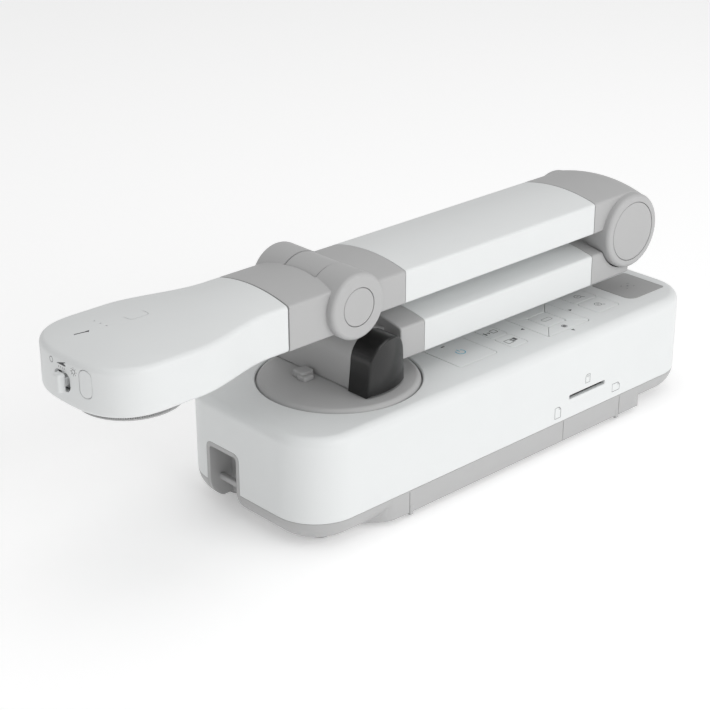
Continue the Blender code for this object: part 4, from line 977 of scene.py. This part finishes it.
def head_marks():
    """The slot, the holes and the engraved outlines in the head's shell, as cutters."""
    mouth = rectangle(*SLIDER_SLOT, SLIDER.z - SLIDER_SLOT_HALF, SLIDER.z + SLIDER_SLOT_HALF,
                      0.0030, 8)
    cutters = [pad(mouth, "YZ", HEAD_TIP - CUT, HEAD_TIP + 0.0045)]
    half, tall = PILL_SIZE[0] / 2, PILL_SIZE[1] / 2
    mid = HEAD_BOTTOM + PILL_RISE
    for y in PILLS:
        pill = rectangle(y - half, y + half, mid - tall, mid + tall, half * 0.98, 10)
        cutters.append(groove(pill, "YZ", HEAD_TIP - CUT, tip_x(y) + 0.0010))
    over = HEAD_SIDE_TOP + 0.01
    for at in MICROPHONES:
        cutters.append(lathe([(HEAD_SIDE_TOP, MICROPHONE_RADIUS), (over, MICROPHONE_RADIUS)],
                             "Z", at, 16))
    square = rectangle(-0.1835, -0.1735, 0.0045, 0.0150, 0.0022, 6)
    cutters.append(groove(square, "XY", HEAD_SIDE_TOP + CROWN * 0.93 - 0.00012, over))
    return cutters


def make_slider():
    """The light's slider: a thumb piece on a shank, and a plate that closes the slot."""
    lo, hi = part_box("light_slider")
    mid = (lo + hi) / 2
    knob = block((lo.x - 0.0008, lo.y - 0.0003, mid.z - 0.0040),
                 (HEAD_TIP - 0.0002, hi.y, mid.z + 0.0040), 0.0008, 5)
    shank = block((HEAD_TIP - 0.0010, lo.y + 0.0005, mid.z - 0.002),
                  (hi.x, hi.y - 0.0005, mid.z + 0.002))
    plate = block((HEAD_TIP + 0.0036, mid.y - 0.0058, mid.z - 0.0050),
                  (HEAD_TIP + 0.0042, mid.y + 0.0066, mid.z + 0.0050))
    stand_for("light_slider", knob, [plus(shank), plus(plate)])


LENS_TEETH = 150
LENS_BORE = 0.0185
KNURL_DEPTH = 0.0007
BAFFLE = 0.0004  # the height of one step in the lens barrel


def make_lens_ring(axis):
    """The focus ring, knurled all round."""
    lo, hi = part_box("lens_ring")
    radius, points = half_width("lens_ring"), LENS_TEETH * 4
    profile = rim(lo.z, radius, -0.0009, 5)[::-1]
    profile += [(lo.z + 0.0012, radius - 0.0001), (hi.z - 0.0012, radius - 0.0001),
                (hi.z - 0.0009, radius), (hi.z, radius), (hi.z, LENS_BORE),
                (lo.z + 0.0010, LENS_BORE), (lo.z + 0.0002, LENS_BORE + 0.0008)]
    ring = lathe(profile, "Z", axis, points, closed=True)
    for vert in ring.verts:
        flat = Vector((vert.co.x - axis[0], vert.co.y))
        if flat.length > radius - 0.0005 and lo.z + 0.0010 < vert.co.z < hi.z - 0.0010:
            turn = round(flat.angle_signed(Vector((1, 0)), 0) / (2 * pi) * points)
            if turn % 4 in (1, 2):
                vert.co.x -= flat.x / flat.length * KNURL_DEPTH
                vert.co.y -= flat.y / flat.length * KNURL_DEPTH
    stand_for("lens_ring", ring, (), 0.0, 25)


def make_lens():
    """The lens barrel with its stepped baffles, its glass, and the light's window."""
    axis = (middle("lens_ring").x, 0.0)
    make_lens_ring(axis)
    lo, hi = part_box("lens_barrel")
    radius = half_width("lens_barrel")
    glass_lo, glass_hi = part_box("lens_glass")
    glass_radius = half_width("lens_glass")
    profile = [(lo.z + BAFFLE, radius), (lo.z, radius - BAFFLE)]
    for k in range(1, 6):
        depth, narrow = lo.z + BAFFLE * k, radius - 2 * BAFFLE * k
        profile += [(depth - 0.0003, narrow), (depth, narrow - 0.0002)]
    seat = glass_radius + 0.0003
    profile += [(glass_lo.z - 0.0003, seat), (hi.z - 0.002, seat), (hi.z - 0.002, 0.0001),
                (hi.z, 0.0001), (hi.z, radius)]
    stand_for("lens_barrel", lathe(profile, "Z", axis, 96, closed=True))
    profile = dome(glass_lo.z, glass_radius, 0.0014, 10)
    profile += [(glass_hi.z, glass_radius), (glass_hi.z, 0.0001)]
    stand_for("lens_glass", lathe(profile, "Z", axis, 96))
    lo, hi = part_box("light_window")
    at, radius = middle("light_window"), half_width("light_window")
    profile = dome(lo.z - 0.0003, radius, 0.0009, 8) + [(hi.z, radius), (hi.z, 0.0001)]
    stand_for("light_window", lathe(profile, "Z", (at.x, at.y), 64))


def dome(bottom, radius, rise, steps):
    """The profile of a face that bulges downwards, from its middle to its rim."""
    return [(bottom + rise * (k / steps)**2, max(radius * k / steps, 0.0001))
            for k in range(steps + 1)]


# ---------------------------------------------------------------- printed marks


def stroke(points, width, closed=False):
    """A line of the given width as one ribbon: its left and right edge points."""
    left, right = [], []
    count = len(points)
    for i, point in enumerate(points):
        here = Vector(point)
        back = points[i - 1] if i or closed else points[i]
        ahead = points[(i + 1) % count] if i < count - 1 or closed else points[i]
        along = (Vector(ahead) - Vector(back)).normalized()
        side = Vector((-along.y, along.x)) * width / 2
        left.append(here + side)
        right.append(here - side)
    quads = []
    for i in range(count if closed else count - 1):
        j = (i + 1) % count
        quads.append([left[i], right[i], right[j], left[j]])
    return quads


def line(a, b, width):
    return stroke([a, b], width)


def box_line(low_u, high_u, low_v, high_v, radius, width):
    return stroke(rectangle(low_u, high_u, low_v, high_v, radius, 4), width, True)


def ring_line(u, v, radius, width, start=0.0, sweep=2 * pi, steps=28):
    points = [(u + radius * cos(start + sweep * k / steps),
               v + radius * sin(start + sweep * k / steps))
              for k in range(steps if sweep == 2 * pi else steps + 1)]
    return stroke(points, width, sweep == 2 * pi)


def disc(u, v, radius, sides=20):
    return [[(u + radius * cos(2 * pi * k / sides), v + radius * sin(2 * pi * k / sides))
             for k in range(sides)]]


def printed(name, polygons, origin, right, up, target, look, body):
    """Ink laid on a piece: each polygon is dropped on the target along right x up."""
    right, up, origin = Vector(right), Vector(up), Vector(origin)
    normal = right.cross(up)
    tree = BVHTree.FromObject(target, bpy.context.evaluated_depsgraph_get())
    made = bmesh.new()
    for polygon in polygons:
        tops, bottoms = [], []
        for u, v in polygon:
            start = origin + right * u + up * v + normal * 0.02
            spot, face_normal, _, _ = tree.ray_cast(start, -normal)
            if spot is None:
                spot = start - normal * 0.02
            tops.append(made.verts.new(spot + normal * INK_THICK))
            bottoms.append(made.verts.new(spot - normal * INK_THICK))
        count = len(tops)
        made.faces.new(tops)
        made.faces.new(bottoms[::-1])
        for i in range(count):
            j = (i + 1) % count
            made.faces.new((tops[i], bottoms[i], bottoms[j], tops[j]))
    bmesh.ops.recalc_face_normals(made, faces=made.faces)
    return piece(name, made, look, (), body)


X, Y, Z = (1, 0, 0), (0, 1, 0), (0, 0, 1)
HAIR = 0.00032


def top_print(name, polygons, node, look=None, at=None):
    at = at or middle(node)
    body = frame["nodes"][node]["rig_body"]
    target = bpy.data.objects[f"{node}_shell"]
    return printed(name, polygons, (at[0], at[1], BASE_TOP), X, Y, target, look or DARK_INK, body)


def print_panel():
    """The symbols on the keys and beside them."""
    power = ring_line(0, 0, 0.0023, 0.00042, radians(130), radians(280))
    power += line((0, 0.0006), (0, 0.0030), 0.00042)
    top_print("power_symbol", power, "power_button", CYAN_INK)
    lamp = [rectangle(-0.0011, 0.0011, -0.0004, 0.0004, 0.0002, 3)]
    top_print("power_lamp", lamp, "power_button", DARK_INK,
              (-0.0150, high("power_button").y - 0.0025, 0))
    source = box_line(0.0002, 0.0034, -0.0016, 0.0016, 0.0003, HAIR)
    source += line((-0.0036, 0), (-0.0008, 0), HAIR)
    source += [[(-0.0006, 0), (-0.0018, 0.0010), (-0.0018, -0.0010)]]
    source += [rectangle(-0.0044, -0.0036, -0.0014, 0.0014, 0.0001, 2)]
    top_print("source_symbol", source, "source_button")
    split = box_line(-0.0036, -0.0002, -0.0018, 0.0018, 0.0003, HAIR)
    split += [rectangle(0.0004, 0.0012, -0.0018, 0.0018, 0.0001, 2),
              rectangle(0.0018, 0.0036, -0.0010, 0.0018, 0.0001, 2)]
    top_print("split_symbol", split, "split_screen_button")
    for node, sign in (("zoom_out_button", "minus"), ("zoom_in_button", "plus")):
        lens = ring_line(0, 0.0003, 0.0018, HAIR)
        lens += line((0.0013, -0.001), (0.0028, -0.0022), 0.0004)
        lens += line((-0.0009, 0.0003), (0.0009, 0.0003), HAIR)
        if sign == "plus":
            lens += line((0, -0.0006), (0, 0.0012), HAIR)
        top_print(f"zoom_{sign}_symbol", lens, node, PALE_INK)
    marks = []
    for u in (-1, 1):
        for v in (-1, 1):
            marks += stroke([(u * 0.0030, v * 0.0014), (u * 0.0030, v * 0.0022),
                             (u * 0.0020, v * 0.0022)], 0.0003)
    marks += disc(0, 0, 0.0006)
    top_print("focus_symbol", marks, "focus_button", PALE_INK)
    enter = box_line(-0.0030, 0.0030, -0.0014, 0.0014, 0.0008, 0.00026)
    top_print("enter_symbol", enter, "enter_button", PALE_INK)
    front = middle("pad_front_key")
    top_print("pad_front_symbol", disc(0, 0, 0.0009) + ring_line(0, 0, 0.0014, 0.0003),
              "pad_front_key", DARK_INK, (front.x, low("pad_front_key").y + 0.0035, 0))
    mid = middle("enter_button")
    (left, near), (right, _) = pad_ends()
    space, size = 0.0026, 0.0010
    arrows = {"left": (left - space, mid.y, -size, 0), "right": (right + space, mid.y, size, 0),
              "front": (mid.x, near - space, 0, -size)}
    for name, (x, y, u, v) in arrows.items():
        triangle = [[(u, v), (-u - v, -v + u), (-u + v, -v - u)]]
        top_print(f"pad_arrow_{name}", triangle, "base_casing", DARK_INK, (x, y, 0))


def print_front():
    """Sheet and card symbols beside the card slot."""
    target = bpy.data.objects["base_casing_shell"]

    def sheet_mark(name, x, z, width, height):
        fold = 0.30 * min(width, height)
        w, h = width / 2, height / 2
        page = stroke([(-w, -h), (w, -h), (w, h - fold), (w - fold, h), (-w, h)], 0.00030, True)
        page += stroke([(w, h - fold), (w - fold, h - fold), (w - fold, h)], 0.00022)
        printed(name, page, (x, -BASE[1], z), X, Z, target, PALE_INK, "base")

    slot = middle("card_socket")
    sheet_mark("portrait_symbol", slot.x - 0.0215, slot.z - 0.0055, 0.0042, 0.0058)
    sheet_mark("landscape_symbol", slot.x + 0.0222, slot.z - 0.0055, 0.0056, 0.0042)
    card = stroke([(-0.0016, -0.0022), (0.0016, -0.0022), (0.0016, 0.0022), (-0.0006, 0.0022),
                   (-0.0016, 0.0012)], 0.0003, True)
    for k in range(3):
        card += line((-0.0006 + 0.0007 * k, 0.0008), (-0.0006 + 0.0007 * k, 0.0016), 0.0002)
    printed("card_symbol", card, (slot.x, -BASE[1], slot.z + 0.0062), X, Z, target, PALE_INK,
            "base")


def sun(u, v, radius, rays=8):
    marks = ring_line(u, v, radius * 0.5, 0.0002, steps=20)
    for k in range(rays):
        turn = 2 * pi * k / rays
        marks += line((u + radius * 0.75 * cos(turn), v + radius * 0.75 * sin(turn)),
                      (u + radius * cos(turn), v + radius * sin(turn)), 0.0002)
    return marks


def print_head():
    """The light's symbols round its slider, and the slit on top of the head."""
    target = bpy.data.objects["head_shell_shell"]

    def end_print(name, polygons, look=DARK_INK):
        printed(name, polygons, (HEAD_TIP, SLIDER.y, SLIDER.z), (0, -1, 0), Z, target, look, "head")

    ramp, step, foot = [], 0.0005, 0.0068
    for k in range(12):
        start, end, top = step * k - 0.0036, step * (k + 1) - 0.0036, foot + 0.00015 * (k + 1)
        ramp.append([(start, foot), (end, foot), (end, top), (start, top)])
    for k in range(4):
        ramp += disc(-0.0024 + 0.0013 * k, 0.0056, 0.00022, 10)
    end_print("light_ramp_symbol", ramp)
    end_print("light_on_symbol", sun(0.0074, 0.0062, 0.0019))
    end_print("light_off_symbol", ring_line(-0.0078, 0.0068, 0.0012, 0.00026), PALE_INK)
    slit = stroke([(-0.2077, 0.0101), (-0.2050, 0.0090), (-0.2025, 0.0079)], 0.0007)
    slit += [[(-0.2025, 0.0071), (-0.2013, 0.0085), (-0.2033, 0.0088)]]
    printed("sound_symbol", slit, (0, 0, HEAD_SIDE_TOP), X, Y, target, DARK_INK, "head")


# ---------------------------------------------------------------- setting


FLOOR_HALF = 6
FLOOR_GLOW = 0.24
SKY_STRENGTH = 0.50
LIT_POINT = (-0.03, 0, 0.05)
LENS_LENGTH = 89.6
SENSOR_WIDTH = 36
VIEWPOINT = (-0.5671, -0.5467, 0.3946)
VIEW_DIRECTION = (0.61824, 0.67049, -0.41014)
VIEW_ROLL = radians(-0.27)


def make_floor():
    sheet = rectangle(-FLOOR_HALF, FLOOR_HALF, -FLOOR_HALF, FLOOR_HALF)
    floor = mesh_object("floor", pad(sheet, "XY", -0.02, low("foot_front_left").z))
    made = plastic("floor_paper", (0.94, 0.94, 0.94), 0.8, 0.0, 0.002, 0.0)
    shader = made.node_tree.nodes["Principled BSDF"]
    shader.inputs["Emission Color"].default_value = (1, 1, 1, 1)
    shader.inputs["Emission Strength"].default_value = FLOOR_GLOW
    floor.data.materials.append(made)


def area_light(name, place, width, height, power):
    lamp = bpy.data.lights.new(name, "AREA")
    lamp.shape = "RECTANGLE"
    lamp.size, lamp.size_y = width, height
    lamp.energy = power
    item = bpy.data.objects.new(name, lamp)
    bpy.context.scene.collection.objects.link(item)
    item.location = place
    aim = Vector(LIT_POINT) - Vector(place)
    item.rotation_euler = aim.to_track_quat("-Z", "Y").to_euler()


def make_lights():
    """A white sky, a large soft light in front and another overhead."""
    world = bpy.data.worlds.new("studio")
    bpy.context.scene.world = world
    world.use_nodes = True
    sky = world.node_tree.nodes["Background"]
    sky.inputs["Color"].default_value = (1.0, 1.0, 1.0, 1)
    sky.inputs["Strength"].default_value = SKY_STRENGTH
    area_light("key", (0.25, -1.5, 0.75), 1.6, 1.2, 11.5)
    area_light("overhead", (0.0, -0.2, 1.8), 1.9, 1.9, 8.2)
    bpy.context.scene.view_settings.view_transform = "Standard"


def make_camera():
    """The viewpoint: from the front and left, a little above."""
    lens = bpy.data.cameras.new("camera")
    lens.lens = LENS_LENGTH
    lens.sensor_width = SENSOR_WIDTH
    item = bpy.data.objects.new("camera", lens)
    bpy.context.scene.collection.objects.link(item)
    turned = Vector(VIEW_DIRECTION).normalized().to_track_quat("-Z", "Y").to_matrix()
    turned = turned @ Matrix.Rotation(VIEW_ROLL, 3, "Z")
    item.matrix_world = Matrix.Translation(VIEWPOINT) @ turned.to_4x4()
    bpy.context.scene.camera = item


for node, item in frame["nodes"].items():
    if not item.material_slots:
        item.data.materials.append(None)
    for slot in item.material_slots:
        slot.material = LOOKS[SLOT_OF[node]]

for make in (make_camera, make_casing, make_tray, make_feet, make_notch, make_ports, make_keys,
             make_turntable, make_shoulder, make_lower_arm, make_upper_arm, make_neck, make_head,
             make_slider, make_lens, print_panel, print_front, print_head, make_floor, make_lights):
    make()
